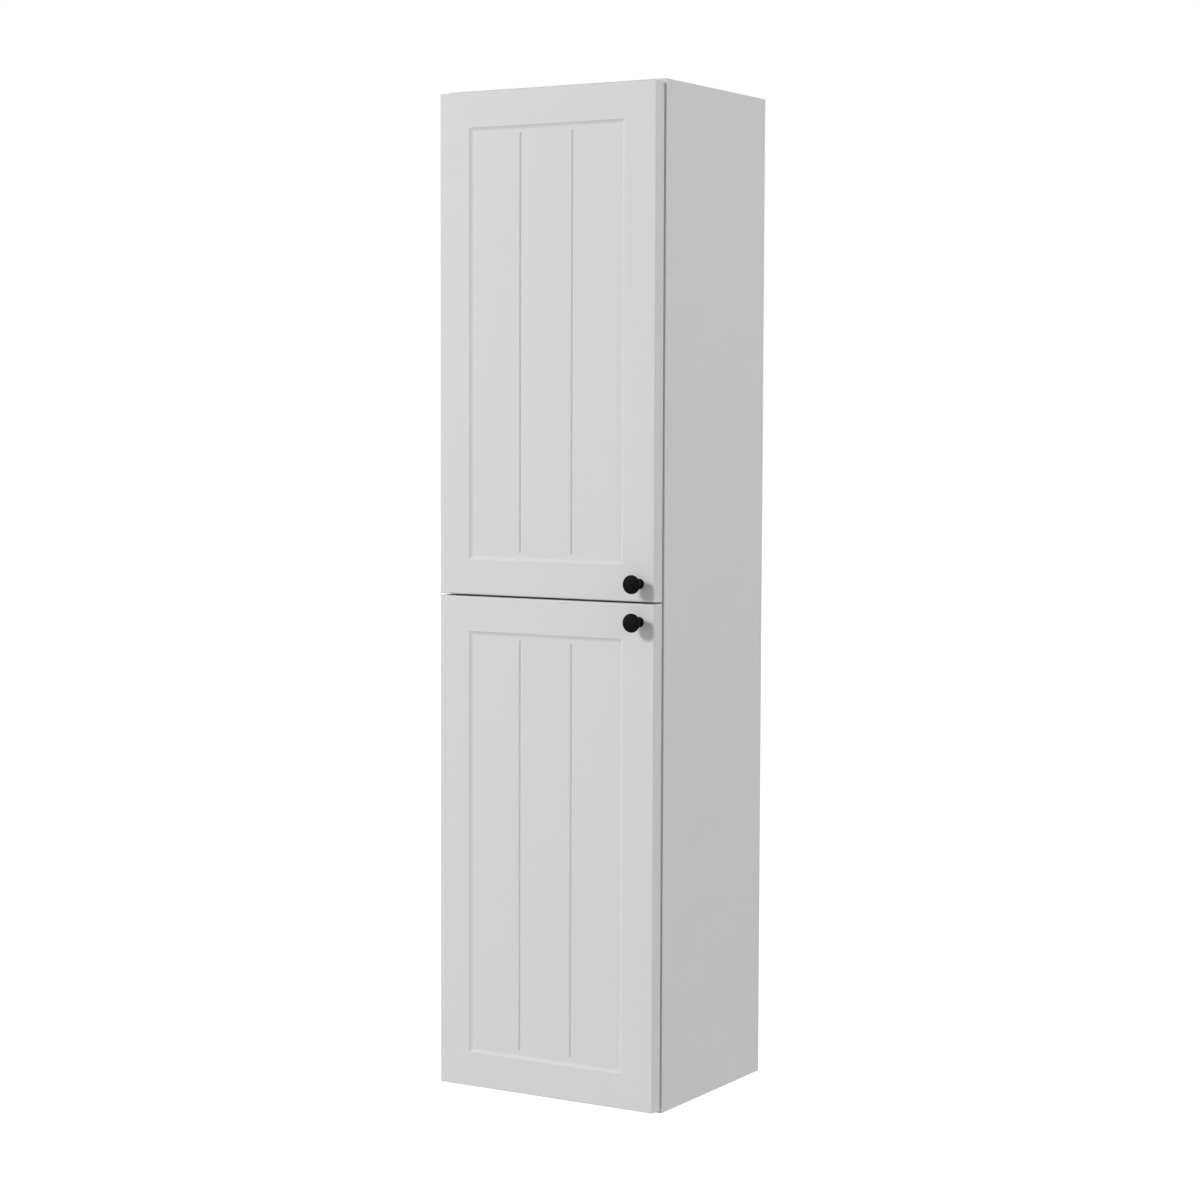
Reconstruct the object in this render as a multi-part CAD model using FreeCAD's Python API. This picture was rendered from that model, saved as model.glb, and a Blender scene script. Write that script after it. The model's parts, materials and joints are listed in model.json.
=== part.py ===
# Tall wall-hung bathroom cabinet with two stacked overlay doors, built piece by piece.
# Millimetres. X runs to the right, Y towards the wall, Z up.
# The origin is on the wall plane, at the middle of the cabinet's lower rear edge.
import FreeCAD, Part
import os

V = FreeCAD.Vector
LEFT, RIGHT = -1, 1
ALONG_X, ALONG_Y, ALONG_Z = V(1, 0, 0), V(0, 1, 0), V(0, 0, 1)
tiny = 0.01                  # tolerance for picking edges, and overshoot of a cutting tool

# ---------------------------------------------------------------- driving dimensions
cabinet_width = 400.0
cabinet_height = 1600.0
carcass_depth = 325.0
board = 16.0                 # thickness of every carcass board and shelf
back_board = 3.0             # thickness of the hardboard backs
back_recess = 18.0           # hollow between the wall and the backs
groove_depth = 6.5           # grooves that hold the backs
groove_play = 0.2
back_end_play = 0.4          # from a back's edge to the bottom of its groove

door_thickness = 25.0
door_gap = 3.0               # air between door and carcass, filled by bumpers and hinge flanges
door_side_reveal = 2.0       # how far the carcass shows past the door at each side
door_end_reveal = 5.0        # the same above the upper door and below the lower one
door_seam = 3.0              # gap between the two doors
door_edge_round = 2.5
door_back_round = 1.0

frame_width = 55.5           # flat border of the door face
bevel_width = 7.0            # sloping edge between border and panel
panel_recess = 3.0
vee_width = 5.0              # grooves that split the panel into three boards
vee_depth = 2.2
vee_end_gap = 4.5

knob_side_inset = 26.0       # from the door's right edge to the knob's centre
knob_end_inset = 28.0        # from the door's edge at the seam to the knob's centre
knob_head_radius = 14.75
knob_foot_radius = 8.0
knob_length = 31.5

hinge_inset = 100.0          # from a door's end to its nearest hinge
pin_inset = 8.5              # hinge axis to the door's left edge
pin_depth = 12.5             # hinge axis to the door's back face
pin_radius = 1.5
pin_play = 0.06
cup_radius = 17.4
cup_inset = 21.0             # cup's centre to the door's left edge
strip = 1.8                  # sheet thickness of the hinge arm

shelf_heights = [270.0, 530.0, 1060.0, 1320.0]
pin_rows = [37.0, 265.0]     # shelf-pin rows, measured back from the carcass front
row_pitch = 32.0

# ---------------------------------------------------------------- worked out from them
inner_x = cabinet_width / 2 - board
front_y = -carcass_depth
door_back = front_y - door_gap
door_front = door_back - door_thickness
door_left = -cabinet_width / 2 + door_side_reveal
door_right = cabinet_width / 2 - door_side_reveal
door_height = (cabinet_height - 2 * door_end_reveal - door_seam) / 2
lower_door_z = door_end_reveal
upper_door_z = lower_door_z + door_height + door_seam
middle_z = cabinet_height / 2
back_front_y = -back_recess - back_board

pin_x = door_left + pin_inset
pin_y = door_back - pin_depth
cup_x = door_left + cup_inset

hinge_heights = {
    "lower_door_bottom": lower_door_z + hinge_inset,
    "lower_door_top": lower_door_z + door_height - hinge_inset,
    "upper_door_bottom": upper_door_z + hinge_inset,
    "upper_door_top": upper_door_z + door_height - hinge_inset,
}
door_spans = {"lower_door": lower_door_z, "upper_door": upper_door_z}


# ---------------------------------------------------------------- small helpers
def block(x0, x1, y0, y1, z0, z1):
    return Part.makeBox(x1 - x0, y1 - y0, z1 - z0, V(x0, y0, z0))


def side_block(side, x0, x1, y0, y1, z0, z1):
    """Block between two distances from the cabinet's middle plane, on its left or right."""
    low, high = sorted([side * x0, side * x1])
    return block(low, high, y0, y1, z0, z1)


def rod(radius, start, end):
    way = V(*end) - V(*start)
    return Part.makeCylinder(radius, way.Length, V(*start), way)


def side_rod(side, radius, x0, x1, y, z):
    """Rod along X between two distances from the cabinet's middle plane."""
    return rod(radius, (side * x0, y, z), (side * x1, y, z))


def taper(radius_start, radius_end, start, end):
    way = V(*end) - V(*start)
    return Part.makeCone(radius_start, radius_end, way.Length, V(*start), way)


def prism(points, way):
    corners = [V(*p) for p in points]
    wire = Part.makePolygon(corners + [corners[0]])
    return Part.Face(wire).extrude(V(*way))


def rounded(shape, radius, keep):
    edges = [edge for edge in shape.Edges if keep(edge)]
    return shape.makeFillet(radius, edges)


def along(edge, axis):
    start, end = edge.Vertexes[0].Point, edge.Vertexes[-1].Point
    return abs((end - start).normalize().dot(axis)) > 0.999


def pan_screw(base, way, shank_radius, shank_length, head_radius, head_height):
    """Round-headed screw. The head's seat is at base, and way points out of the head."""
    back = tuple(a - b * shank_length for a, b in zip(base, way))
    out = tuple(a + b * head_height for a, b in zip(base, way))
    shank = rod(shank_radius, base, back)
    head = rod(head_radius, base, out)
    top = V(*out)
    head = rounded(head, head_height * 0.45, lambda e: abs((e.CenterOfMass - top).dot(V(*way))) < tiny)
    return shank.fuse(head)


def save(name, shapes):
    pieces = shapes if isinstance(shapes, list) else [shapes]
    whole = pieces[0] if len(pieces) == 1 else Part.makeCompound(pieces)
    whole.exportStep("parts/" + name + ".step")


# ---------------------------------------------------------------- carcass fittings
joint_rows = [front_y + 50.0, -50.0]     # cam fittings, front and rear
dowel_rows = [front_y + 82.0, -82.0]

cam_reach = 34.0             # from a side panel's inner face to the cam's centre
cam_radius = 7.4
cam_bore_radius = 7.5
cam_bore_depth = 13.0
cam_end_play = 0.1
cap_thickness = 1.0
cam_slot_half = 3.8          # slot in the cam that takes the bolt's head

bolt_thread_radius = 3.0
bolt_thread_length = 11.0
bolt_shank_radius = 2.5
bolt_head_radius = 3.4
bolt_head_length = 4.0
bolt_bore_radius = 4.0
thread_bore_radius = 3.05
thread_bore_depth = 11.2

dowel_radius = 4.0
dowel_bore_radius = 4.05
dowel_in_board = 20.0
dowel_in_side = 10.0
dowel_end_play = 0.5

rear_rail_height = 70.0
rear_rail_dowel_zs = [35.0, 67.0]


def board_levels():
    """Underside of each fixed board, and which way its cam bores face."""
    return {
        "bottom_panel": (0.0, -1),
        "middle_shelf": (middle_z - board / 2, -1),
        "top_panel": (cabinet_height - board, 1),
    }


def joint_spots(rows):
    spots = []
    for low, facing in board_levels().values():
        for y in rows:
            for side in (LEFT, RIGHT):
                spots.append((side, y, low, facing))
    return spots


def cam_bolt(side, y, z):
    neck = inner_x - cam_reach + bolt_head_length
    thread = side_rod(side, bolt_thread_radius, inner_x, inner_x + bolt_thread_length, y, z)
    shank = side_rod(side, bolt_shank_radius, inner_x, neck, y, z)
    head = side_rod(side, bolt_head_radius, neck, neck - bolt_head_length, y, z)
    return thread.fuse([shank, head]).removeSplitter()


def cam_lock(side, y, low, facing):
    outer = low + board if facing > 0 else low
    x = side * (inner_x - cam_reach)
    near = outer - facing * (cap_thickness + cam_end_play)
    far = outer - facing * (cam_bore_depth - cam_end_play)
    mid = low + board / 2
    slot = side_block(side, inner_x - cam_reach - 2.5, inner_x - cam_reach + 14, y - cam_slot_half,
                      y + cam_slot_half, mid - cam_slot_half, mid + cam_slot_half)
    return rod(cam_radius, (x, y, near), (x, y, far)).cut(slot)


def cam_cap(side, y, low, facing):
    outer = low + board if facing > 0 else low
    x = side * (inner_x - cam_reach)
    return rod(cam_radius, (x, y, outer - facing * cap_thickness), (x, y, outer))


def dowel(side, y, z):
    return side_rod(side, dowel_radius, inner_x - dowel_in_board, inner_x + dowel_in_side, y, z)


def dowel_bore_in_board(side, y, z):
    end = inner_x - dowel_in_board - dowel_end_play
    return side_rod(side, dowel_bore_radius, inner_x, end, y, z)


def dowel_bore_in_side(side, y, z):
    end = inner_x + dowel_in_side + dowel_end_play
    return side_rod(side, dowel_bore_radius, inner_x, end, y, z)


def rear_rail_dowel_spots():
    return [(side, -board / 2, z) for side in (LEFT, RIGHT) for z in rear_rail_dowel_zs]


def joint_bores(level_name):
    """Holes one fixed board needs for its cams, bolts and dowels."""
    low, facing = board_levels()[level_name]
    outer = low + board if facing > 0 else low
    mid = low + board / 2
    bores = []
    for side in (LEFT, RIGHT):
        for y in joint_rows:
            x = side * (inner_x - cam_reach)
            bores.append(rod(cam_bore_radius, (x, y, outer), (x, y, outer - facing * cam_bore_depth)))
            bores.append(side_rod(side, bolt_bore_radius, inner_x, inner_x - cam_reach, y, mid))
        for y in dowel_rows:
            bores.append(dowel_bore_in_board(side, y, mid))
    return bores


# ---------------------------------------------------------------- carcass boards
board_edge_round = 1.0
shelf_pin_radius = 2.5
shelf_pin_bore_radius = 2.55
shelf_pin_bore_depth = 9.0
spare_steps = (-2, -1, 0, 1, 2)          # spare pin holes under and over each shelf
wood_screw_radius = 1.9
pilot_radius = 1.95
pilot_depth = 12.2

anti_lift_xs = [-120.0, 120.0]           # screws through the lower rear rail into the wall
anti_lift_z = board + 35.0
anti_lift_radius = 3.0
anti_lift_clearance = 3.5


def side_bores(side):
    """Holes in a side panel's inner face."""
    bores = []
    for low, facing in board_levels().values():
        mid = low + board / 2
        for y in joint_rows:
            bores.append(side_rod(side, thread_bore_radius, inner_x, inner_x + thread_bore_depth, y, mid))
        for y in dowel_rows:
            bores.append(dowel_bore_in_side(side, y, mid))
    for spot_side, y, z in rear_rail_dowel_spots():
        if spot_side == side:
            bores.append(dowel_bore_in_side(side, y, z))
    for height in shelf_heights:
        for step in spare_steps:
            for row in pin_rows:
                y, z = front_y + row, height + step * row_pitch
                end = inner_x + shelf_pin_bore_depth
                bores.append(side_rod(side, shelf_pin_bore_radius, inner_x, end, y, z))
    screws = hanger_screw_spots()
    if side == LEFT:
        screws = screws + plate_screw_spots()
    for y, z in screws:
        bores.append(side_rod(side, pilot_radius, inner_x, inner_x + pilot_depth, y, z))
    return bores


def back_groove(x0, x1, z0, z1):
    return block(x0, x1, back_front_y - groove_play, -back_recess + groove_play, z0, z1)


def side_panel(side):
    outer = cabinet_width / 2
    panel = side_block(side, inner_x, outer, front_y, 0, 0, cabinet_height)
    panel = rounded(panel, board_edge_round,
                    lambda e: abs(e.CenterOfMass.x - side * outer) < tiny and e.CenterOfMass.y < -1)
    low, high = sorted([side * (inner_x - 1), side * (inner_x + groove_depth)])
    groove = back_groove(low, high, board - groove_depth, cabinet_height - board + groove_depth)
    return panel.cut([groove] + side_bores(side))


def level_board(level_name):
    low, facing = board_levels()[level_name]
    rear = back_front_y - 1.3 if level_name == "middle_shelf" else 0.0
    panel = block(-inner_x, inner_x, front_y, rear, low, low + board)
    tools = joint_bores(level_name)
    if level_name == "top_panel":
        tools.append(back_groove(-inner_x - 1, inner_x + 1, low - 1, low + groove_depth))
    if level_name == "bottom_panel":
        tools.append(back_groove(-inner_x - 1, inner_x + 1, board - groove_depth, board + 1))
    return panel.cut(tools)


def lower_rear_rail():
    rail = block(-inner_x, inner_x, -board, 0, board, board + rear_rail_height)
    tools = [rod(anti_lift_radius, (x, -board - 1, anti_lift_z), (x, 1, anti_lift_z)) for x in anti_lift_xs]
    for spot in rear_rail_dowel_spots():
        tools.append(dowel_bore_in_board(*spot))
    return rail.cut(tools)


def back_panel(z0, z1):
    reach = inner_x + groove_depth - back_end_play
    return block(-reach, reach, back_front_y, -back_recess, z0, z1)


backs_gap = 0.8              # from the cabinet's middle to each back's edge


def lower_back():
    panel = back_panel(board - groove_depth + back_end_play, middle_z - backs_gap)
    holes = [rod(anti_lift_clearance, (x, back_front_y - 1, anti_lift_z), (x, -back_recess + 1, anti_lift_z))
             for x in anti_lift_xs]
    return panel.cut(holes)


def upper_back():
    panel = back_panel(middle_z + backs_gap, cabinet_height - board + groove_depth - back_end_play)
    slots = [side_block(side, hook_x - 2.5, hook_x + 2.5, back_front_y - 1, -back_recess + 1,
                        rail_top - 16, rail_top + 16) for side in (LEFT, RIGHT)]
    return panel.cut(slots)


def back_joining_strip():
    """Plastic strip of H section that holds the two backs edge to edge."""
    reach = inner_x - 0.5
    face, bite = 0.1, 0.5    # play against the backs, and how far the faces run into the web
    wall = 1.0
    web = block(-reach, reach, back_front_y - bite, -back_recess + bite, middle_z - 0.6, middle_z + 0.6)
    front = block(-reach, reach, back_front_y - face - wall, back_front_y - face, middle_z - 8, middle_z + 8)
    rear = block(-reach, reach, -back_recess + face, -back_recess + face + wall, middle_z - 10, middle_z + 10)
    return web.fuse([front, rear]).removeSplitter()


# ---------------------------------------------------------------- loose shelves
shelf_setback = 22.0         # from the carcass front to a shelf's front edge
shelf_end_play = 0.8
shelf_edge_round = 0.8
pin_in_side = 8.8
pin_under_shelf = 8.0


def shelf(height):
    low = height + shelf_pin_bore_radius
    reach = inner_x - shelf_end_play
    front = front_y + shelf_setback
    plank = block(-reach, reach, front, back_front_y - 2, low, low + board)
    return rounded(plank, shelf_edge_round, lambda e: along(e, ALONG_X) and e.CenterOfMass.y < front + tiny)


def shelf_pin(side, row, height):
    tip = inner_x - pin_under_shelf
    pin = side_rod(side, shelf_pin_radius, inner_x + pin_in_side, tip, front_y + row, height)
    return rounded(pin, 0.6, lambda e: abs(abs(e.CenterOfMass.x) - tip) < tiny)


# ---------------------------------------------------------------- wall hanging
rail_top = 1552.9
rail_length = 366.0
rail_sheet = 2.0
rail_flange_height = 37.0
rail_lip_height = 17.9       # lip and step together
rail_stand_off = 8.0         # front of the lip to the wall
wall_screw_xs = [-120.0, 120.0]
wall_screw_z = 1516.0
wall_screw_radius = 3.5

housing_width = 12.0
housing_y = (-64.0, -24.0)
housing_z = (1516.0, 1580.0)
hook_x = inner_x - housing_width / 2
hook_half = 1.5              # half the hook's plate thickness
hook_play = 0.1              # from the hook's notch to the rail's top edge
adjuster_zs = [rail_top + 6, rail_top - 18]
adjuster_radius = 3.0
adjuster_head_radius = 4.2
adjuster_head_height = 2.6


def hanger_screw_spots():
    """Depth and height of the two screws that hold a hanger's housing to its side panel."""
    return [(-44.0, 1523.0), (-44.0, 1575.5)]


def wall_rail():
    """Steel strip on the wall: flat flange, step away from the wall, upright lip."""
    half = rail_length / 2
    foot = rail_top - rail_lip_height
    step_top = foot + rail_sheet
    flange = block(-half, half, -rail_sheet, 0, step_top - rail_flange_height, step_top)
    step = block(-half, half, -rail_stand_off, 0, foot, step_top)
    lip = block(-half, half, -rail_stand_off, -rail_stand_off + rail_sheet, foot, rail_top)
    rail = flange.fuse([step, lip]).removeSplitter()
    holes = [rod(wall_screw_radius, (x, -rail_sheet - 1, wall_screw_z), (x, 1, wall_screw_z))
             for x in wall_screw_xs]
    return rail.cut(holes)


def hanger_hook(side):
    """Steel plate that reaches through the back and drops behind the rail's lip."""
    inside, outside = hook_x - hook_half, hook_x + hook_half
    notch = rail_top + hook_play
    rear, front = -2.5, -52.0
    arm = side_block(side, inside, outside, front, rear, notch, rail_top + 11)
    nose = side_block(side, inside, outside, rear - 3, rear, rail_top - 12, notch)
    heel = side_block(side, inside, outside, front, front + 12, rail_top - 7, notch)
    return arm.fuse([nose, heel]).removeSplitter()


def hanger_housing(side):
    """Plastic box on the side panel that guides the hook and carries its two adjusting screws."""
    inside = inner_x - housing_width
    shell = side_block(side, inner_x, inside, *housing_y, *housing_z)
    shell = rounded(shell, 2.0, lambda e: abs(e.CenterOfMass.x - side * inside) < tiny)
    tools = [side_block(side, hook_x - 2, hook_x + 2, -54, -20, rail_top - 9, rail_top + 14)]
    for z in adjuster_zs:
        tools.append(rod(adjuster_radius + 0.05, (side * hook_x, -66, z), (side * hook_x, -53, z)))
    for y, z in hanger_screw_spots():
        tools.append(side_rod(side, wood_screw_radius + 0.2, inner_x + 1, inside - 1, y, z))
    return shell.cut(tools)


def hanger_adjusters(side):
    """Short screws with one driver slot that lift the hook and draw it towards the wall."""
    made = []
    x, seat = side * hook_x, housing_y[0]
    top = seat - adjuster_head_height
    for z in adjuster_zs:
        shaft = rod(adjuster_radius, (x, seat, z), (x, seat + 9.8, z))
        head = rod(adjuster_head_radius, (x, seat, z), (x, top, z))
        slot = block(x - 5, x + 5, top - 1, top + 1, z - 0.6, z + 0.6)
        made.append(shaft.fuse(head.cut(slot)))
    return made


def hanger_screws():
    made = []
    for side in (LEFT, RIGHT):
        for y, z in hanger_screw_spots():
            seat = (side * (inner_x - housing_width), y, z)
            made.append(pan_screw(seat, (-side, 0, 0), wood_screw_radius, 24, 3.6, 2.0))
    return made


# ---------------------------------------------------------------- hinges
strip_x = -inner_x + 12.5    # middle of the arm's sheet where it passes the carcass front
strip_in, strip_out = strip_x - strip / 2, strip_x + strip / 2
plate_y = front_y + 37.0     # screw line of the mounting plates
clamp_y = front_y + 51.0     # clamping screw and side-adjusting screw of each arm
side_screw_y = front_y + 21.0
arm_screw_ys = [clamp_y, side_screw_y]

wing_thickness = 2.0
wing_half_height = 23.0
wing_half_depth = 7.0
plate_screw_offset = 16.0    # above and below the hinge's middle
plate_rail_half = 6.6
arm_screw_radius = 2.4

arm_half_height = 5.0        # the cranked stretch
channel_half_height = 9.0    # the channel over the plate
channel_wall = 1.6
channel_y = (front_y + 12.0, front_y + 63.0)
shoulder_y = front_y + 4.0
knuckle_radius = 2.9
knuckle_half = 5.2

cup_floor = pin_y - 4.1
cup_wall = 0.9
cup_bottom = cup_floor - cup_wall
cup_bore_radius = cup_radius + 0.1
cup_bore_bottom = cup_bottom - 0.4
cup_rim_width = 1.1
flange_thickness = 1.1
cup_screw_x = cup_x + 6.0
cup_screw_reach = 24.0
cup_wing_half_width = 7.0
cup_wing_half_height = 30.0
cup_screw_radius = 1.7
cup_screw_head_radius = 3.3
lug_span = (5.5, 17.0)       # each lug, above and below the knuckle
pin_half = 10.2


def plate_screw_spots():
    """Depth and height of the screws that hold the mounting plates to the left side panel."""
    return [(plate_y, z + dz) for z in hinge_heights.values()
            for dz in (-plate_screw_offset, plate_screw_offset)]


def hinge_plate(z):
    """Mounting plate: two screw wings, and a raised rail that the arm sits over."""
    wing = block(-inner_x, -inner_x + wing_thickness, plate_y - wing_half_depth, plate_y + wing_half_depth,
                 z - wing_half_height, z + wing_half_height)
    wing = rounded(wing, 4.0, lambda e: along(e, ALONG_X))
    rail = block(-inner_x, strip_in - 0.2, front_y + 16, front_y + 61,
                 z - plate_rail_half, z + plate_rail_half)
    rail = rounded(rail, 1.5, lambda e: along(e, ALONG_X))
    tools = [rod(wood_screw_radius + 0.2, (-inner_x - 1, plate_y, z + dz), (-inner_x + 3, plate_y, z + dz))
             for dz in (-plate_screw_offset, plate_screw_offset)]
    for y in arm_screw_ys:
        tools.append(rod(arm_screw_radius + 0.05, (-inner_x + 1.5, y, z), (strip_x + 1, y, z)))
    return wing.fuse(rail).removeSplitter().cut(tools)


def hinge_arm(z):
    """Cranked steel arm: knuckle on the pin, crank inside the cup, channel over the plate."""
    low_y = pin_y - knuckle_radius
    z0, z1 = z - arm_half_height, z + arm_half_height
    y0, y1 = channel_y
    knuckle = rod(knuckle_radius, (pin_x, pin_y, z - knuckle_half), (pin_x, pin_y, z + knuckle_half))
    crank = block(pin_x, strip_out, low_y, low_y + strip, z0, z1)
    reach = block(strip_in, strip_out, low_y, y0, z0, z1)
    crank = crank.fuse(reach).removeSplitter()
    crank = rounded(crank, 1.4, lambda e: along(e, ALONG_Z) and e.CenterOfMass.x > strip_out - tiny
                    and e.CenterOfMass.y < low_y + tiny)
    shoulder = prism([(strip_in, shoulder_y, z0), (strip_in, shoulder_y, z1),
                      (strip_in, y0, z + channel_half_height), (strip_in, y0, z - channel_half_height)],
                     (strip, 0, 0))
    top = block(strip_in, strip_out, y0, y1, z - channel_half_height, z + channel_half_height)
    inside = channel_half_height - channel_wall
    walls = [block(-inner_x + 2.6, strip_in, y0, y1, z + low, z + high)
             for low, high in ((-channel_half_height, -inside), (inside, channel_half_height))]
    arm = knuckle.fuse([crank, shoulder, top] + walls).removeSplitter()
    tools = [rod(pin_radius + pin_play, (pin_x, pin_y, z - 6), (pin_x, pin_y, z + 6))]
    for y in arm_screw_ys:
        tools.append(rod(arm_screw_radius + 0.3, (strip_in - 1, y, z), (strip_out + 1, y, z)))
    return arm.cut(tools)


def hinge_arm_screws():
    made = []
    head_height, slot_depth, slot_reach, slot_half = 1.9, 0.9, 2.4, 0.45
    top = strip_out + head_height
    for z in hinge_heights.values():
        for y in arm_screw_ys:
            screw = pan_screw((strip_out, y, z), (1, 0, 0), arm_screw_radius, 9.5, 3.8, head_height)
            cross = [block(top - slot_depth, top + 1, y - a, y + a, z - b, z + b)
                     for a, b in ((slot_reach, slot_half), (slot_half, slot_reach))]
            made.append(screw.cut(cross))
    return made


def hinge_plate_screws():
    return [pan_screw((-inner_x + wing_thickness, y, z), (1, 0, 0), wood_screw_radius, 14, 3.6, 1.8)
            for y, z in plate_screw_spots()]


def cup_screw_spots(z):
    return [(cup_screw_x, z - cup_screw_reach), (cup_screw_x, z + cup_screw_reach)]


def hinge_cup(z):
    """Round cup let into the door, with a flange for two screws and lugs that hold the pin."""
    flange_y = door_back + flange_thickness
    outer = rod(cup_radius, (cup_x, door_back, z), (cup_x, cup_bottom, z))
    outer = rounded(outer, 0.8, lambda e: abs(e.CenterOfMass.y - cup_bottom) < tiny)
    rim = rod(cup_radius + cup_rim_width, (cup_x, door_back, z), (cup_x, flange_y, z))
    wings = block(cup_screw_x - cup_wing_half_width, cup_screw_x + cup_wing_half_width, door_back, flange_y,
                  z - cup_wing_half_height, z + cup_wing_half_height)
    wings = rounded(wings, 5.0, lambda e: along(e, ALONG_Y))
    shell = outer.fuse([rim, wings]).removeSplitter()
    hollow = rod(cup_radius - cup_wall, (cup_x, cup_floor, z), (cup_x, door_back + 2, z))
    within = rod(cup_radius - cup_wall / 2 - 0.05, (cup_x, cup_bottom, z), (cup_x, door_back, z))
    near, far = lug_span
    lugs = [block(pin_x - 4.4, pin_x + 3.6, cup_floor, pin_y + 3.4, z + low, z + high).common(within)
            for low, high in ((near, far), (-far, -near))]
    cup = shell.cut(hollow).fuse(lugs).removeSplitter()
    tools = [rod(pin_radius + 0.02, (pin_x, pin_y, z - far + 1), (pin_x, pin_y, z + far - 1))]
    for x, screw_z in cup_screw_spots(z):
        tools.append(taper(3.5, 1.9, (x, flange_y + 0.05, screw_z), (x, door_back - 0.45, screw_z)))
    return cup.cut(tools)


def hinge_pin(z):
    return rod(pin_radius, (pin_x, pin_y, z - pin_half), (pin_x, pin_y, z + pin_half))


def hinge_spring(z):
    """Flat closing spring on the cup's floor, its free end bearing on the arm's knuckle."""
    y = cup_floor + 0.1
    sheet, lift, half = 0.5, 0.3, 3.5
    root_x, bend_x, tip_x = cup_x + 13.0, pin_x + 3.0, pin_x - 1.6
    path = [(root_x, y), (bend_x, y), (pin_x + 1.2, y + lift), (tip_x, y + lift),
            (tip_x, y + lift + sheet), (pin_x + 1.4, y + lift + sheet), (bend_x + 0.2, y + sheet),
            (root_x, y + sheet)]
    return prism([(px, py, z - half) for px, py in path], (0, 0, 2 * half))


def cup_screws(door_name):
    """Countersunk screws through the cup's flange into the door."""
    made = []
    neck_y = door_back - 0.55
    for name, z in hinge_heights.items():
        if name.startswith(door_name):
            for x, screw_z in cup_screw_spots(z):
                top = (x, door_back + flange_thickness - 0.05, screw_z)
                neck, end = (x, neck_y, screw_z), (x, door_back - 13, screw_z)
                head = taper(cup_screw_head_radius, cup_screw_radius, top, neck)
                made.append(head.fuse(rod(cup_screw_radius, neck, end)).removeSplitter())
    return made


# ---------------------------------------------------------------- doors
knob_bore_radius = 2.05
knob_bore_depth = 15.0
knob_screw_radius = 2.0
bumper_radius = 4.0
bumper_inset = 14.0          # from a door's end to its bumper
bumper_x = cabinet_width / 2 - board / 2 - 1


def pocket(x0, x1, z0, z1):
    """Recess with sloping sides that leaves the frame standing round the panel."""
    def loop(left, right, low, high, y):
        corners = [V(left, y, low), V(right, y, low), V(right, y, high), V(left, y, high)]
        return Part.makePolygon(corners + [corners[0]])

    b = bevel_width
    outer = loop(x0, x1, z0, z1, door_front - tiny)
    inner = loop(x0 + b, x1 - b, z0 + b, z1 - b, door_front + panel_recess)
    return Part.makeLoft([outer, inner], True, True)


def vee_groove(x, z0, z1):
    """Groove of V section whose ends run out to a point."""
    half = vee_width / 2
    y = door_front + panel_recess
    top = y - tiny
    body = prism([(x - half, top, z0 + half), (x + half, top, z0 + half), (x, y + vee_depth, z0 + half)],
                 (0, 0, z1 - z0 - 2 * half))
    ends = []
    for z_end, z_body in ((z0, z0 + half), (z1, z1 - half)):
        a, b, c = V(x - half, top, z_body), V(x + half, top, z_body), V(x, y + vee_depth, z_body)
        tip = V(x, top, z_end)
        faces = [Part.Face(Part.makePolygon(loop + [loop[0]]))
                 for loop in ([a, b, c], [a, b, tip], [b, c, tip], [a, c, tip])]
        ends.append(Part.makeSolid(Part.makeShell(faces)))
    return [body] + ends


def knob_spot(door_name):
    """The upper door's knob is at its lower right corner, the lower door's at its upper right."""
    z0 = door_spans[door_name]
    z = z0 + knob_end_inset if door_name == "upper_door" else z0 + door_height - knob_end_inset
    return door_right - knob_side_inset, z


def door_panel(door_name):
    z0 = door_spans[door_name]
    z1 = z0 + door_height
    slab = block(door_left, door_right, door_front, door_back, z0, z1)
    slab = rounded(slab, door_edge_round, lambda e: abs(e.CenterOfMass.y - door_front) < tiny)
    slab = rounded(slab, door_back_round, lambda e: abs(e.CenterOfMass.y - door_back) < tiny)
    left, right = door_left + frame_width, door_right - frame_width
    low, high = z0 + frame_width, z1 - frame_width
    tools = [pocket(left, right, low, high)]
    for boards_before in (1, 2):
        x = left + (right - left) * boards_before / 3
        tools += vee_groove(x, low + bevel_width + vee_end_gap, high - bevel_width - vee_end_gap)
    knob_x, knob_z = knob_spot(door_name)
    tools.append(rod(knob_screw_radius + 0.2,
                     (knob_x, door_front - 1, knob_z), (knob_x, door_back + 1, knob_z)))
    for name, z in hinge_heights.items():
        if name.startswith(door_name):
            tools.append(rod(cup_bore_radius, (cup_x, door_back + 1, z), (cup_x, cup_bore_bottom, z)))
            for x, screw_z in cup_screw_spots(z):
                pilot = cup_screw_radius + 0.05
                tools.append(rod(pilot, (x, door_back + 1, screw_z), (x, door_back - 13.5, screw_z)))
                tools.append(taper(2.3, pilot, (x, door_back + 0.05, screw_z), (x, door_back - 0.7, screw_z)))
    return slab.cut(tools)


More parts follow.
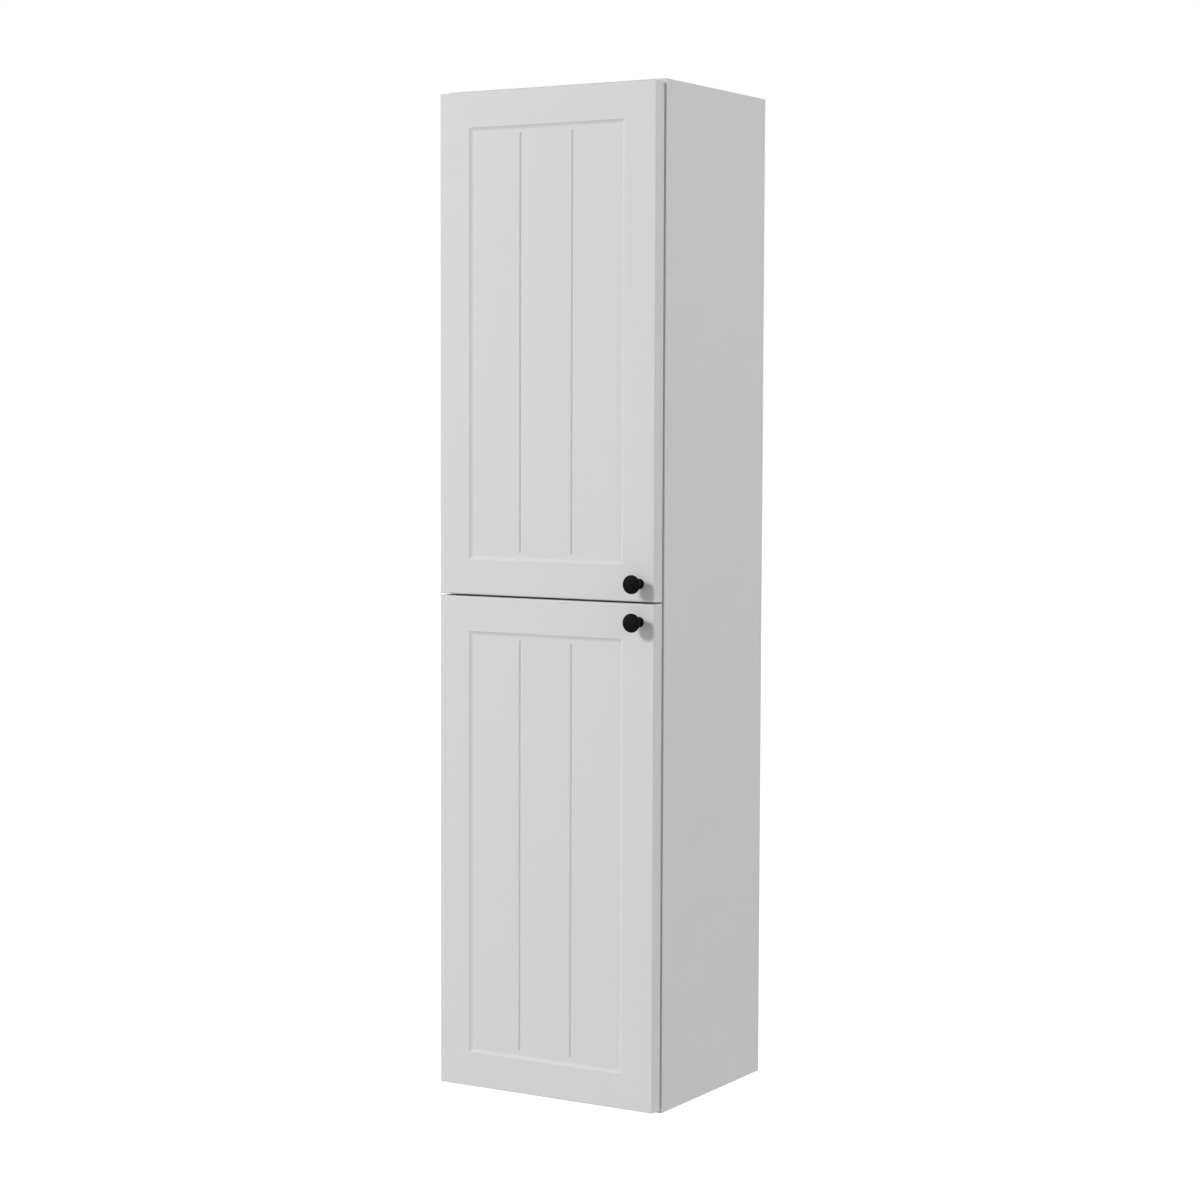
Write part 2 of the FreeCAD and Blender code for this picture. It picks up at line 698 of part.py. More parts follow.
def knob(door_name):
    """Turned knob: foot on the door, waist, round head with a softly domed face."""
    x, z = knob_spot(door_name)
    foot, head = knob_foot_radius, knob_head_radius
    hole = knob_bore_radius
    rim_out, dome_rise = knob_length - 2.0, 2.0
    rim_radius = head - 3.4
    dome = (rim_radius ** 2 + dome_rise ** 2) / (2 * dome_rise)
    dome_mid = knob_length - dome + (dome ** 2 - (rim_radius / 2) ** 2) ** 0.5
    neck_radius, neck_out = head - 2.6, knob_length - 10.4
    widest_out = knob_length - 6.4

    def at(radius, out):
        return V(x + radius, door_front - out, z)

    side = [(hole, 0), (foot, 0), (foot, 1.6), (foot - 1.0, 3.2), (foot - 1.8, 8.5),
            (foot - 1.2, 14.5), (foot + 1.2, 18.9), (neck_radius, neck_out)]
    line = Part.makePolygon([at(r, out) for r, out in side])
    rim = Part.Arc(at(neck_radius, neck_out), at(head, widest_out), at(rim_radius, rim_out)).toShape()
    face = Part.Arc(at(rim_radius, rim_out), at(rim_radius / 2, dome_mid), at(0, knob_length)).toShape()
    bore_top = [at(0, knob_bore_depth), at(hole, knob_bore_depth)]
    bore = Part.makePolygon([at(0, knob_length)] + bore_top + [at(hole, 0)])
    wire = Part.Wire(line.Edges + [rim, face] + bore.Edges)
    return Part.Face(wire).revolve(V(x, door_front, z), ALONG_Y, 360)


def knob_screw(door_name):
    x, z = knob_spot(door_name)
    head_height, slot_depth, slot_reach, slot_half = 2.3, 1.1, 2.6, 0.5
    screw = pan_screw((x, door_back, z), (0, 1, 0), knob_screw_radius, door_thickness + 14, 4.2, head_height)
    y = door_back + head_height
    return screw.cut([block(x - a, x + a, y - slot_depth, y + 1, z - b, z + b)
                      for a, b in ((slot_reach, slot_half), (slot_half, slot_reach))])


def door_bumpers(door_name):
    """Clear soft discs at the door's opening corners that land on the right side panel."""
    made = []
    z0 = door_spans[door_name]
    face = front_y - 0.1
    for z in (z0 + bumper_inset, z0 + door_height - bumper_inset):
        disc = rod(bumper_radius, (bumper_x, door_back, z), (bumper_x, face, z))
        made.append(rounded(disc, 0.9, lambda e: abs(e.CenterOfMass.y - face) < tiny))
    return made


# ---------------------------------------------------------------- write every piece
os.makedirs("parts", exist_ok=True)

save("side_panel_left", side_panel(LEFT))
save("side_panel_right", side_panel(RIGHT))
for level in board_levels():
    save(level, level_board(level))
save("lower_rear_rail", lower_rear_rail())
save("back_panel_lower", lower_back())
save("back_panel_upper", upper_back())
save("back_joining_strip", back_joining_strip())

spots = joint_spots(joint_rows)
save("cam_bolts", [cam_bolt(side, y, low + board / 2) for side, y, low, facing in spots])
save("cam_locks", [cam_lock(*spot) for spot in spots])
save("cam_cover_caps", [cam_cap(*spot) for spot in spots])
dowels = [dowel(side, y, low + board / 2) for side, y, low, facing in joint_spots(dowel_rows)]
dowels += [dowel(*spot) for spot in rear_rail_dowel_spots()]
save("wooden_dowels", dowels)

for number, height in enumerate(shelf_heights, 1):
    save("shelf_%d" % number, shelf(height))
save("shelf_pins", [shelf_pin(side, row, height)
                    for height in shelf_heights for row in pin_rows for side in (LEFT, RIGHT)])

save("wall_rail", wall_rail())
for side, word in ((LEFT, "left"), (RIGHT, "right")):
    save("hanger_housing_" + word, hanger_housing(side))
    save("hanger_hook_" + word, hanger_hook(side))
save("hanger_adjusting_screws", hanger_adjusters(LEFT) + hanger_adjusters(RIGHT))
save("hanger_fixing_screws", hanger_screws())

for name, z in hinge_heights.items():
    save("hinge_plate_" + name, hinge_plate(z))
    save("hinge_arm_" + name, hinge_arm(z))
    save("hinge_cup_" + name, hinge_cup(z))
save("hinge_plate_screws", hinge_plate_screws())
save("hinge_arm_screws", hinge_arm_screws())

for door_name in door_spans:
    heights = [z for name, z in hinge_heights.items() if name.startswith(door_name)]
    save(door_name, door_panel(door_name))
    save("hinge_pins_" + door_name, [hinge_pin(z) for z in heights])
    save("hinge_springs_" + door_name, [hinge_spring(z) for z in heights])
    save("cup_screws_" + door_name, cup_screws(door_name))
    save("knob_" + door_name, knob(door_name))
    save("knob_screw_" + door_name, knob_screw(door_name))
    save("bumpers_" + door_name, door_bumpers(door_name))
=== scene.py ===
# %% [markdown]
# A tall bathroom cabinet that hangs on the wall: a laminated box with two panelled doors above
# each other, turned black knobs at the seam, shelves and cranked cup hinges inside.
# The construction model fixes every size and every moving body. This script dresses it: each
# visible piece is modelled again with soft edges and fine relief, and gets its own finish.

# %% Load the frame
import json
import math

import bmesh
import bpy
from mathutils import Matrix, Vector

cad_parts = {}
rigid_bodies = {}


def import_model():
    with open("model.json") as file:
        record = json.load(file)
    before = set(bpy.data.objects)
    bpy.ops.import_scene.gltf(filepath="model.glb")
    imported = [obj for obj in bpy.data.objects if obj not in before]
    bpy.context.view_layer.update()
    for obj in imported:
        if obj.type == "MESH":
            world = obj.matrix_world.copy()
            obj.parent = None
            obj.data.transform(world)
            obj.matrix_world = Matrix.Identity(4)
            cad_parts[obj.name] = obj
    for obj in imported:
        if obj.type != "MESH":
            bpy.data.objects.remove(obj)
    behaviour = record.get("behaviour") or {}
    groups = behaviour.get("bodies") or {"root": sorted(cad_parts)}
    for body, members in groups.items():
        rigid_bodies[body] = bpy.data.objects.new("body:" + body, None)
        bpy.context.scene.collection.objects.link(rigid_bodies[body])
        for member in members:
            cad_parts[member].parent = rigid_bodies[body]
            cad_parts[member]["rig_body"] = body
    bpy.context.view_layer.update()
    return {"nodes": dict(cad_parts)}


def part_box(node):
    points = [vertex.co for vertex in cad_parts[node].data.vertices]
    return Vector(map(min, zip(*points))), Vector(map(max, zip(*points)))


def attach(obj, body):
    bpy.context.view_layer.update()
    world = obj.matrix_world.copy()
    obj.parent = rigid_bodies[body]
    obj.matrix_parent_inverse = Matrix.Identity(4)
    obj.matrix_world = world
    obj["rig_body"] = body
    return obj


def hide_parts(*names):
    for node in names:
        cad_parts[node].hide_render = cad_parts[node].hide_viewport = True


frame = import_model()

mm = 0.001
nodes = frame["nodes"]
print("construction pieces:", len(nodes))

# %% [markdown]
# A node tree is easier to read when a formula looks like a formula. `Wire` holds one output of a
# node, and adding or multiplying two of them places a Math node. The same class serves shader
# trees, where it mixes noise, and geometry trees, where it shapes the doors.

# %% Formulas inside node trees
def plug(tree, value, socket):
    """Links a wire into a socket, or writes a plain number there."""
    if isinstance(value, Wire):
        tree.links.new(value.socket, socket)
    else:
        socket.default_value = value


def place(tree, kind, inputs=None, **settings):
    """Adds one node, with its settings and the values of its inputs."""
    node = tree.nodes.new(kind)
    for name, value in settings.items():
        setattr(node, name, value)
    for key, value in (inputs or {}).items():
        plug(tree, value, node.inputs[key])
    return node


class Wire:
    def __init__(self, socket):
        self.socket = socket
        self.tree = socket.id_data

    def math(self, operation, *others):
        return formula(self.tree, operation, self, *others)

    def __add__(self, other):
        return self.math("ADD", other)

    def __sub__(self, other):
        return self.math("SUBTRACT", other)

    def __rsub__(self, other):
        return formula(self.tree, "SUBTRACT", other, self)

    def __mul__(self, other):
        return self.math("MULTIPLY", other)

    def __truediv__(self, other):
        return self.math("DIVIDE", other)

    def __rtruediv__(self, other):
        return formula(self.tree, "DIVIDE", other, self)

    def least(self, other):
        return self.math("MINIMUM", other)

    def most(self, other):
        return self.math("MAXIMUM", other)


def formula(tree, operation, *values):
    """One Math node that works on wires and plain numbers."""
    node = tree.nodes.new("ShaderNodeMath")
    node.operation = operation
    for slot, value in enumerate(values):
        plug(tree, value, node.inputs[slot])
    return Wire(node.outputs[0])


def out(node, key=0):
    return Wire(node.outputs[key])


# %% [markdown]
# Finishes come first, because a Geometry Nodes tree sets the finish of what it makes.
# An effect that several finishes share is a node group with named inputs, built once.
# The groups give only colours, masks and heights. The Principled shader stays in each material,
# and a number that is the same all over a surface is typed on the shader's own socket.

# %% Node group helper
def new_group(name, inputs, outputs):
    """A shader group with named sockets, and its input and output nodes."""
    tree = bpy.data.node_groups.new(name, "ShaderNodeTree")
    for label, kind, value in inputs:
        socket = tree.interface.new_socket(label, in_out="INPUT", socket_type="NodeSocket" + kind)
        if value is not None:
            socket.default_value = value
    for label, kind in outputs:
        tree.interface.new_socket(label, in_out="OUTPUT", socket_type="NodeSocket" + kind)
    return tree, tree.nodes.new("NodeGroupInput"), tree.nodes.new("NodeGroupOutput")


def stretched(tree, vector, scale):
    """A vector multiplied along its three axes, so that a pattern can be drawn out."""
    return out(place(tree, "ShaderNodeVectorMath", {0: vector, 1: scale}, operation="MULTIPLY"))


def noise(tree, vector, scale, detail, roughness=0.5):
    """The value of a Noise node. scale counts its lumps per metre."""
    return out(place(tree, "ShaderNodeTexNoise", {"Vector": vector, "Scale": scale, "Detail": detail,
                                                  "Roughness": roughness}))


# %% [markdown]
# `Fine relief` is the skin that a sprayed lacquer or a pressed laminate has: shallow waves a few
# millimetres apart with a much finer grain on top. Two noises at different scales make both.

# %% Group: fine relief
def fine_relief_group():
    tree, inside, result = new_group(
        "fine relief",
        [("Vector", "Vector", None), ("Wave Size", "Float", 3 * mm), ("Grain Size", "Float", 0.5 * mm),
         ("Grain Share", "Float", 0.3)],
        [("Height", "Float"), ("Cloud", "Float")])
    vector, share = out(inside, "Vector"), out(inside, "Grain Share")
    waves = noise(tree, vector, 1.0 / out(inside, "Wave Size"), 2.0, 0.45)
    grain = noise(tree, vector, 1.0 / out(inside, "Grain Size"), 3.0, 0.6)
    clouds_per_metre = 6.0
    plug(tree, waves * (1.0 - share) + grain * share, result.inputs["Height"])
    plug(tree, noise(tree, vector, clouds_per_metre, 4.0, 0.55), result.inputs["Cloud"])
    return tree


fine_relief = fine_relief_group()

# %% [markdown]
# `Worn edge` finds the edges of a piece. A Bevel node rounds the normal near an edge, and where
# the rounded normal leaves the true one, the mask rises. It lets an edge be a touch smoother and
# cleaner than the face, the way a worn or dipped edge is. On the knobs the same mask also makes
# the edges' colour lighter, and that is a painted sheen. Noise breaks it up.

# %% Group: worn edge
def edge_wear_and_sheen_group():
    tree, inside, result = new_group(
        "edge wear and sheen",
        [("Vector", "Vector", None), ("Reach", "Float", 0.6 * mm), ("Patch Size", "Float", 12 * mm)],
        [("Mask", "Float")])
    bevel = place(tree, "ShaderNodeBevel", {"Radius": out(inside, "Reach")}, samples=4)
    true = place(tree, "ShaderNodeNewGeometry")
    match = place(tree, "ShaderNodeVectorMath", {0: out(bevel), 1: out(true, "Normal")},
                  operation="DOT_PRODUCT")
    patches = noise(tree, out(inside, "Vector"), 1.0 / out(inside, "Patch Size"), 3.0)
    edge_gain, patch_gain = 4.0, 1.6
    edge = (1.0 - out(match, "Value")) * edge_gain
    broken = edge * (patches * patch_gain)
    plug(tree, broken.least(1.0), result.inputs["Mask"])
    return tree


edge_wear_and_sheen = edge_wear_and_sheen_group()

# %% [markdown]
# `Drawn metal` is the hair-fine scratching of plated and pressed steel, stretched along one axis
# of the piece, with a cloudy change in the plating over it.

# %% Group: drawn metal
def drawn_metal_group():
    tree, inside, result = new_group(
        "drawn metal",
        [("Vector", "Vector", None), ("Stretch", "Vector", (1.0, 1.0, 1.0)),
         ("Scratch Size", "Float", 0.2 * mm)],
        [("Scratch", "Float"), ("Cloud", "Float")])
    vector = out(inside, "Vector")
    drawn = stretched(tree, vector, out(inside, "Stretch"))
    clouds_per_metre = 120.0
    scratch = noise(tree, drawn, 1.0 / out(inside, "Scratch Size"), 2.0, 0.7)
    plug(tree, scratch, result.inputs["Scratch"])
    plug(tree, noise(tree, vector, clouds_per_metre, 5.0, 0.6), result.inputs["Cloud"])
    return tree


drawn_metal = drawn_metal_group()

# %% [markdown]
# `Pressed chips` is the raw core of the boards, seen on unbanded rear edges and inside drilled
# holes. Voronoi cells, drawn out along the board, stand for flat wood chips, each with its own
# shade, and the dark gaps between them come from the distance to the cells' borders.

# %% Group: pressed chips
def pressed_chips_group():
    tree, inside, result = new_group(
        "pressed chips",
        [("Vector", "Vector", None), ("Chip Size", "Float", 1.6 * mm)],
        [("Color", "Color"), ("Height", "Float")])
    scale = 1.0 / out(inside, "Chip Size")
    drawn = stretched(tree, out(inside, "Vector"), (0.55, 1.0, 0.35))
    chips, gaps = [place(tree, "ShaderNodeTexVoronoi", {"Vector": drawn, "Scale": scale}, feature=kind)
                   for kind in ("F1", "DISTANCE_TO_EDGE")]
    shade = place(tree, "ShaderNodeSeparateColor", {"Color": out(chips, "Color")})
    ramp = place(tree, "ShaderNodeValToRGB", {"Fac": out(shade)})
    ramp.color_ramp.elements[0].color = (0.23, 0.135, 0.062, 1)
    ramp.color_ramp.elements[1].color = (0.56, 0.40, 0.22, 1)
    middle = ramp.color_ramp.elements.new(0.45)
    middle.color = (0.42, 0.28, 0.14, 1)
    gap_gain = 9.0
    gap = (out(gaps) * gap_gain).least(1.0)
    dark = place(tree, "ShaderNodeMix", {"Factor": gap, 6: (0.12, 0.07, 0.035, 1), 7: out(ramp)},
                 data_type="RGBA")
    plug(tree, out(dark, 2), result.inputs["Color"])
    plug(tree, gap + out(shade) * 0.5, result.inputs["Height"])
    return tree


pressed_chips = pressed_chips_group()

# %% Material helpers
def new_finish(name):
    """An empty material: its tree, the Principled shader and the object's own coordinates."""
    material = bpy.data.materials.new(name)
    material.use_nodes = True
    tree = material.node_tree
    shader = tree.nodes["Principled BSDF"]
    coordinates = tree.nodes.new("ShaderNodeTexCoord")
    return material, tree, shader, out(coordinates, "Object")


def use(tree, group, **values):
    """Places a shader group. Underscores in the value names stand for spaces."""
    node = tree.nodes.new("ShaderNodeGroup")
    node.node_tree = group
    for name, value in values.items():
        plug(tree, value, node.inputs[name.replace("_", " ")])
    return node


def ranged(tree, value, low, high):
    """Maps a mask from 0..1 to low..high."""
    mapped = place(tree, "ShaderNodeMapRange", {"Value": value, "To Min": low, "To Max": high})
    return out(mapped)


def blended(tree, mask, first, second):
    """Mixes two colours by a mask."""
    mix = place(tree, "ShaderNodeMix", {"Factor": mask, 6: first, 7: second}, data_type="RGBA")
    return out(mix, 2)


def coat(tree, shader, colour, roughness, height, depth, specular=0.5):
    """Feeds colour and roughness into the shader, and a height, in shares of depth, as bumps."""
    plug(tree, colour, shader.inputs["Base Color"])
    plug(tree, roughness, shader.inputs["Roughness"])
    bump = place(tree, "ShaderNodeBump", {"Height": height, "Distance": depth, "Strength": 1.0})
    tree.links.new(bump.outputs["Normal"], shader.inputs["Normal"])
    shader.inputs["Specular IOR Level"].default_value = specular


def grey(value):
    return (value, value, value, 1)


# %% [markdown]
# White lacquer on the routed doors. In the photograph it is a dull, even white with no sharp
# reflection, so the roughness is high, the waves are shallow and the white drifts by two parts in
# a hundred at most. Edges and groove walls are a little smoother, because the lacquer gathers there.
# Four white skins of the cabinet differ only in such numbers, so one function makes them all.

# %% Finish: white lacquer
def white_finish(name, shade, white, waves, grain, grain_share, rough_from, rough, depth,
                 edge=None, specular=0.5):
    """A white skin with fine relief. edge is (reach, patch size, how much smoother), or nothing."""
    material, tree, shader, here = new_finish(name)
    relief = use(tree, fine_relief, Vector=here, Wave_Size=waves, Grain_Size=grain,
                 Grain_Share=grain_share)
    colour = blended(tree, out(relief, "Cloud"), shade, white)
    roughness = ranged(tree, out(relief, rough_from), *rough)
    if edge:
        reach, patch_size, smoother = edge
        worn = use(tree, edge_wear_and_sheen, Vector=here, Reach=reach, Patch_Size=patch_size)
        roughness = roughness - out(worn) * smoother
    coat(tree, shader, colour, roughness, out(relief, "Height"), depth, specular)
    return material


white_lacquer = white_finish("white_lacquer", (0.685, 0.685, 0.687, 1), grey(0.70), waves=2.4 * mm,
                             grain=0.35 * mm, grain_share=0.35, rough_from="Cloud", rough=(0.50, 0.60),
                             depth=0.012 * mm, edge=(0.8 * mm, 15 * mm, 0.06), specular=0.35)

# %% [markdown]
# White laminate covers the carcass boards and shelves. It is pressed from a steel plate with a
# fine pearl, so its grain is sharper and even, and it lacks the lacquer's slow waves.

# %% Finish: white laminate
white_laminate = white_finish("white_laminate", (0.68, 0.68, 0.683, 1), grey(0.70), waves=1.1 * mm,
                              grain=0.28 * mm, grain_share=0.6, rough_from="Height", rough=(0.45, 0.62),
                              depth=0.02 * mm, edge=(0.5 * mm, 20 * mm, 0.05), specular=0.35)

# %% Finish: raw board core
def raw_core_finish():
    material, tree, shader, here = new_finish("raw_chipboard")
    chips = use(tree, pressed_chips, Vector=here, Chip_Size=1.6 * mm)
    height = out(chips, "Height")
    coat(tree, shader, out(chips, "Color"), ranged(tree, height, 0.95, 0.75), height, 0.25 * mm)
    return material


raw_core = raw_core_finish()

# %% [markdown]
# The backs are 3 mm hardboard. The face inside the cabinet is printed white. The face towards the
# wall is bare brown fibre with the mesh print of the press, two crossed waves about 1.4 mm apart.

# %% Finish: hardboard, both faces
printed_hardboard = white_finish("hardboard_white_print", (0.66, 0.66, 0.65, 1), (0.69, 0.69, 0.68, 1),
                                 waves=4 * mm, grain=0.6 * mm, grain_share=0.5, rough_from="Height",
                                 rough=(0.42, 0.6), depth=0.03 * mm)


def bare_hardboard_finish():
    material, tree, shader, here = new_finish("hardboard_bare_fibre")
    fibre = noise(tree, stretched(tree, here, (1.0, 1.0, 0.3)), 900.0, 6.0, 0.75)
    stain = noise(tree, here, 9.0, 4.0)
    weft, warp = [out(place(tree, "ShaderNodeTexWave", {"Vector": here, "Scale": 220.0, "Distortion": 0.6},
                            bands_direction=axis), "Fac") for axis in "XZ"]
    tone = blended(tree, fibre, (0.13, 0.075, 0.038, 1), (0.30, 0.185, 0.10, 1))
    colour = blended(tree, stain * 0.5, tone, (0.24, 0.15, 0.085, 1))
    coat(tree, shader, colour, ranged(tree, fibre, 0.7, 0.95), weft * warp + fibre * 0.6, 0.12 * mm)
    return material


bare_hardboard = bare_hardboard_finish()

# %% [markdown]
# The knobs are dull black all over, darker than a fresh tyre, with only a faint sheen on the rim.
# That sheen is painted: the colour turns lighter along the edges.
# A powder coat does that: a fine pebbled skin over metal, so the shader is not metallic at all.

# %% Finish: black powder coat
def black_powder_finish():
    material, tree, shader, here = new_finish("matt_black_powder")
    pebble = place(tree, "ShaderNodeTexVoronoi", {"Vector": here, "Scale": 3200.0}, feature="SMOOTH_F1")
    drift = noise(tree, here, 260.0, 3.0)
    edge = out(use(tree, edge_wear_and_sheen, Vector=here, Reach=0.5 * mm, Patch_Size=4 * mm))
    colour = blended(tree, drift, (0.0036, 0.0036, 0.0037, 1), (0.0052, 0.0052, 0.0054, 1))
    # painted sheen: along the edges the black is mixed towards a lighter grey, as if the rim caught the
    # light
    painted_rim_sheen = blended(tree, edge * 0.35, colour, grey(0.011))
    roughness = ranged(tree, drift, 0.48, 0.62) - edge * 0.1
    coat(tree, shader, painted_rim_sheen, roughness, out(pebble, "Distance"), 0.02 * mm, specular=0.045)
    return material


black_powder = black_powder_finish()

# %% [markdown]
# Four metals: bright zinc plate on screws and the wall rail, nickel on the pressed hinge arms and
# cups, bare die casting on plates and cams, and blued spring strip. They differ in colour,
# roughness and the direction of the scratches, so one function makes them all.

# %% Finish: metals
def metal_finish(name, dark, light, rough_low, rough_high, stretch, scratch_depth):
    material, tree, shader, here = new_finish(name)
    drawn = use(tree, drawn_metal, Vector=here, Stretch=stretch, Scratch_Size=0.3 * mm)
    edge = use(tree, edge_wear_and_sheen, Vector=here, Reach=0.25 * mm, Patch_Size=3 * mm)
    scratch = out(drawn, "Scratch")
    roughness = ranged(tree, scratch, rough_low, rough_high) - out(edge) * 0.08
    coat(tree, shader, blended(tree, out(drawn, "Cloud"), dark, light), roughness, scratch, scratch_depth)
    shader.inputs["Metallic"].default_value = 1.0
    return material


zinc_plate = metal_finish("bright_zinc_plate", (0.50, 0.515, 0.53, 1), (0.66, 0.67, 0.68, 1),
                          0.24, 0.40, (1.0, 1.0, 1.0), 0.004 * mm)
nickel_plate = metal_finish("nickel_plated_steel", (0.59, 0.575, 0.55, 1), (0.71, 0.695, 0.67, 1),
                            0.22, 0.34, (1.0, 0.08, 1.0), 0.002 * mm)
die_casting = metal_finish("zinc_die_casting", (0.38, 0.385, 0.39, 1), (0.50, 0.505, 0.51, 1),
                           0.40, 0.60, (1.0, 1.0, 1.0), 0.03 * mm)
spring_strip = metal_finish("blued_spring_steel", (0.16, 0.18, 0.22, 1), (0.30, 0.32, 0.36, 1),
                            0.22, 0.38, (0.1, 1.0, 1.0), 0.004 * mm)

# %% [markdown]
# White injection moulding is satin, with the spark-eroded grain of its mould and faint flow
# clouds. The bumpers are soft clear discs: milky, slightly clouded polyurethane.

# %% Finish: plastics
white_plastic = white_finish("moulded_white_plastic", (0.66, 0.66, 0.64, 1), (0.72, 0.72, 0.705, 1),
                             waves=0.9 * mm, grain=0.2 * mm, grain_share=0.5, rough_from="Height",
                             rough=(0.3, 0.48), depth=0.015 * mm, edge=(0.4 * mm, 6 * mm, 0.08))


def clear_bumper_finish():
    material, tree, shader, here = new_finish("clear_soft_bumper")
    cloud = noise(tree, here, 420.0, 3.0)
    colour = blended(tree, cloud, (0.80, 0.81, 0.80, 1), (0.90, 0.91, 0.90, 1))
    coat(tree, shader, colour, ranged(tree, cloud, 0.12, 0.28), cloud, 0.02 * mm)
    shader.inputs["Transmission Weight"].default_value = 0.75
    shader.inputs["IOR"].default_value = 1.48
    return material


clear_bumper = clear_bumper_finish()

# %% [markdown]
# Beech dowels sit unseen in the joints, but a cabinet taken apart shows them. Long fine streaks
# along X, the way the dowels lie, and short dark flecks make turned beech.

# %% Finish: beech
def beech_finish():
    material, tree, shader, here = new_finish("turned_beech")
    streaks = noise(tree, stretched(tree, here, (0.06, 1.0, 1.0)), 1500.0, 4.0, 0.6)
    flecks = place(tree, "ShaderNodeTexVoronoi", {"Vector": stretched(tree, here, (0.25, 1.0, 1.0)),
                                                  "Scale": 1100.0}, feature="F1")
    tone = blended(tree, streaks, (0.42, 0.25, 0.12, 1), (0.62, 0.43, 0.25, 1))
    fleck = out(flecks, "Distance").math("LESS_THAN", 0.12) * 0.5
    colour = blended(tree, fleck, tone, (0.24, 0.13, 0.06, 1))
    coat(tree, shader, colour, ranged(tree, streaks, 0.55, 0.8), streaks, 0.04 * mm)
    return material


beech = beech_finish()
print("finishes:", sorted(m.name for m in bpy.data.materials if m.users or m.use_nodes))

# %% [markdown]
# Every new piece ends the same way. Its normals are smooth except across sharp edges, it rides on
# its body, and it stands for one or more construction pieces, whose plain meshes then stay hidden.

# %% Finishing a piece
body_of_node = {name: node["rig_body"] for name, node in nodes.items()}


def linked(name, mesh):
    piece = bpy.data.objects.new(name, mesh)
    bpy.context.scene.collection.objects.link(piece)
    return piece


def plain_mesh(work, name):
    """Writes a bmesh out as a mesh and lets go of it."""
    mesh = bpy.data.meshes.new(name)
    work.to_mesh(mesh)
    work.free()
    return mesh


def evaluated(piece):
    """Works the modifiers into the piece's mesh, which leaves a plain mesh."""
    graph = bpy.context.evaluated_depsgraph_get()
    mesh = bpy.data.meshes.new_from_object(piece.evaluated_get(graph), depsgraph=graph)
    piece.modifiers.clear()
    piece.data = mesh


def fit(piece, *stands_for, sharp_angle=35):
    """Smooths a finished piece and seats it in place of the construction pieces it stands for."""
    piece.data.shade_smooth()
    piece.data.set_sharp_from_angle(angle=math.radians(sharp_angle))
    weighted = piece.modifiers.new("even shading", "WEIGHTED_NORMAL")
    weighted.keep_sharp = True
    weighted.weight = 100
    first = stands_for[0]
    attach(piece, body_of_node[first])
    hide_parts(*stands_for)
    piece.name = first + "_made"
    print("%-34s %6d faces, for %s" % (piece.name, len(piece.data.polygons), ", ".join(stands_for)))


# %% [markdown]
# ## The doors
# Each door is one routed board: a flat frame, a shallow cove down to a sunken panel, and V-grooves
# that make the panel look like three boards. The grooves part the whole opening into thirds, so
# the middle board looks the widest. That relief follows a rule, so Geometry Nodes shape it: the
# tree reads how far each point is from the door's edges and sinks it by a formula.
# The mesh it works on is a net whose lines already lie where the surface bends.

# %% Door sizes
door_edge_round = 2.5 * mm
door_back_round = 1.0 * mm
frame_width = 55.5 * mm
cove_width = 7 * mm
panel_recess = 3 * mm
boards_in_panel = 3
vee_width = 5 * mm
vee_depth = 2.2 * mm
vee_end_gap = 4.5 * mm
crease_soft = 0.15 * mm      # how softly the router bit leaves the cove's upper crease
vee_soft = 0.3 * mm

door_low, door_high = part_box("upper_door")
door_width = door_high.x - door_low.x
door_height = door_high.z - door_low.z
print("door %.1f x %.1f x %.1f mm" % tuple(1000 * size for size in door_high - door_low))

# %% Where the net's lines lie
def arc_steps(radius, count):
    """Distances from an edge at which a rounded edge turns by equal angles."""
    return [radius * (1 - math.cos(math.pi / 2 * step / count)) for step in range(count + 1)]


def around(centre, half, count):
    return [centre + half * (2 * step / count - 1) for step in range(count + 1)]


def border_lines():
    """Distances from a door's edge: its round, the cove's crease and the hollow itself."""
    lines = arc_steps(door_edge_round, 6)
    lines += around(frame_width, 1.4 * crease_soft, 6)
    hollow = [0.14, 0.24, 0.34, 0.44, 0.54, 0.64, 0.74, 0.84, 0.93, 1.0]
    lines += [frame_width + cove_width * share for share in hollow]
    return lines


def vee_lines():
    """Distances from a groove's middle to the net's lines beside it."""
    half = vee_width / 2
    return [0, 0.25 * mm, 0.6 * mm, half / 2] + [half + step * mm for step in (-0.6, -0.2, 0.2, 0.6)]


def net_lines(length, middle):
    """All lines across one direction of a door, from one edge to the other."""
    border = border_lines()
    return border + middle + [length - distance for distance in reversed(border)]


board_width = (door_width - 2 * frame_width) / boards_in_panel
across = []
for groove in range(1, boards_in_panel):
    centre = frame_width + groove * board_width
    across += sorted(centre + side * step for step in vee_lines() for side in (-1, 1)
                     if step or side > 0)
end = frame_width + cove_width + vee_end_gap
upward = [end + step for step in vee_lines()]
upward = upward + [door_height / 2] + [door_height - line for line in reversed(upward)]
columns = net_lines(door_width, across)
rows = net_lines(door_height, upward)
print("net of %d x %d lines" % (len(columns), len(rows)))

# %% [markdown]
# The slab: the net on the front, walls round it, a rounded back edge and one flat back face.
# The cove turns its corners on a 45 degree mitre. The cells on that diagonal are split along it by
# hand, because a four-sided cell could be folded the wrong way.

# %% Door slab
back_round_steps = 4
weld_distance = 0.001 * mm


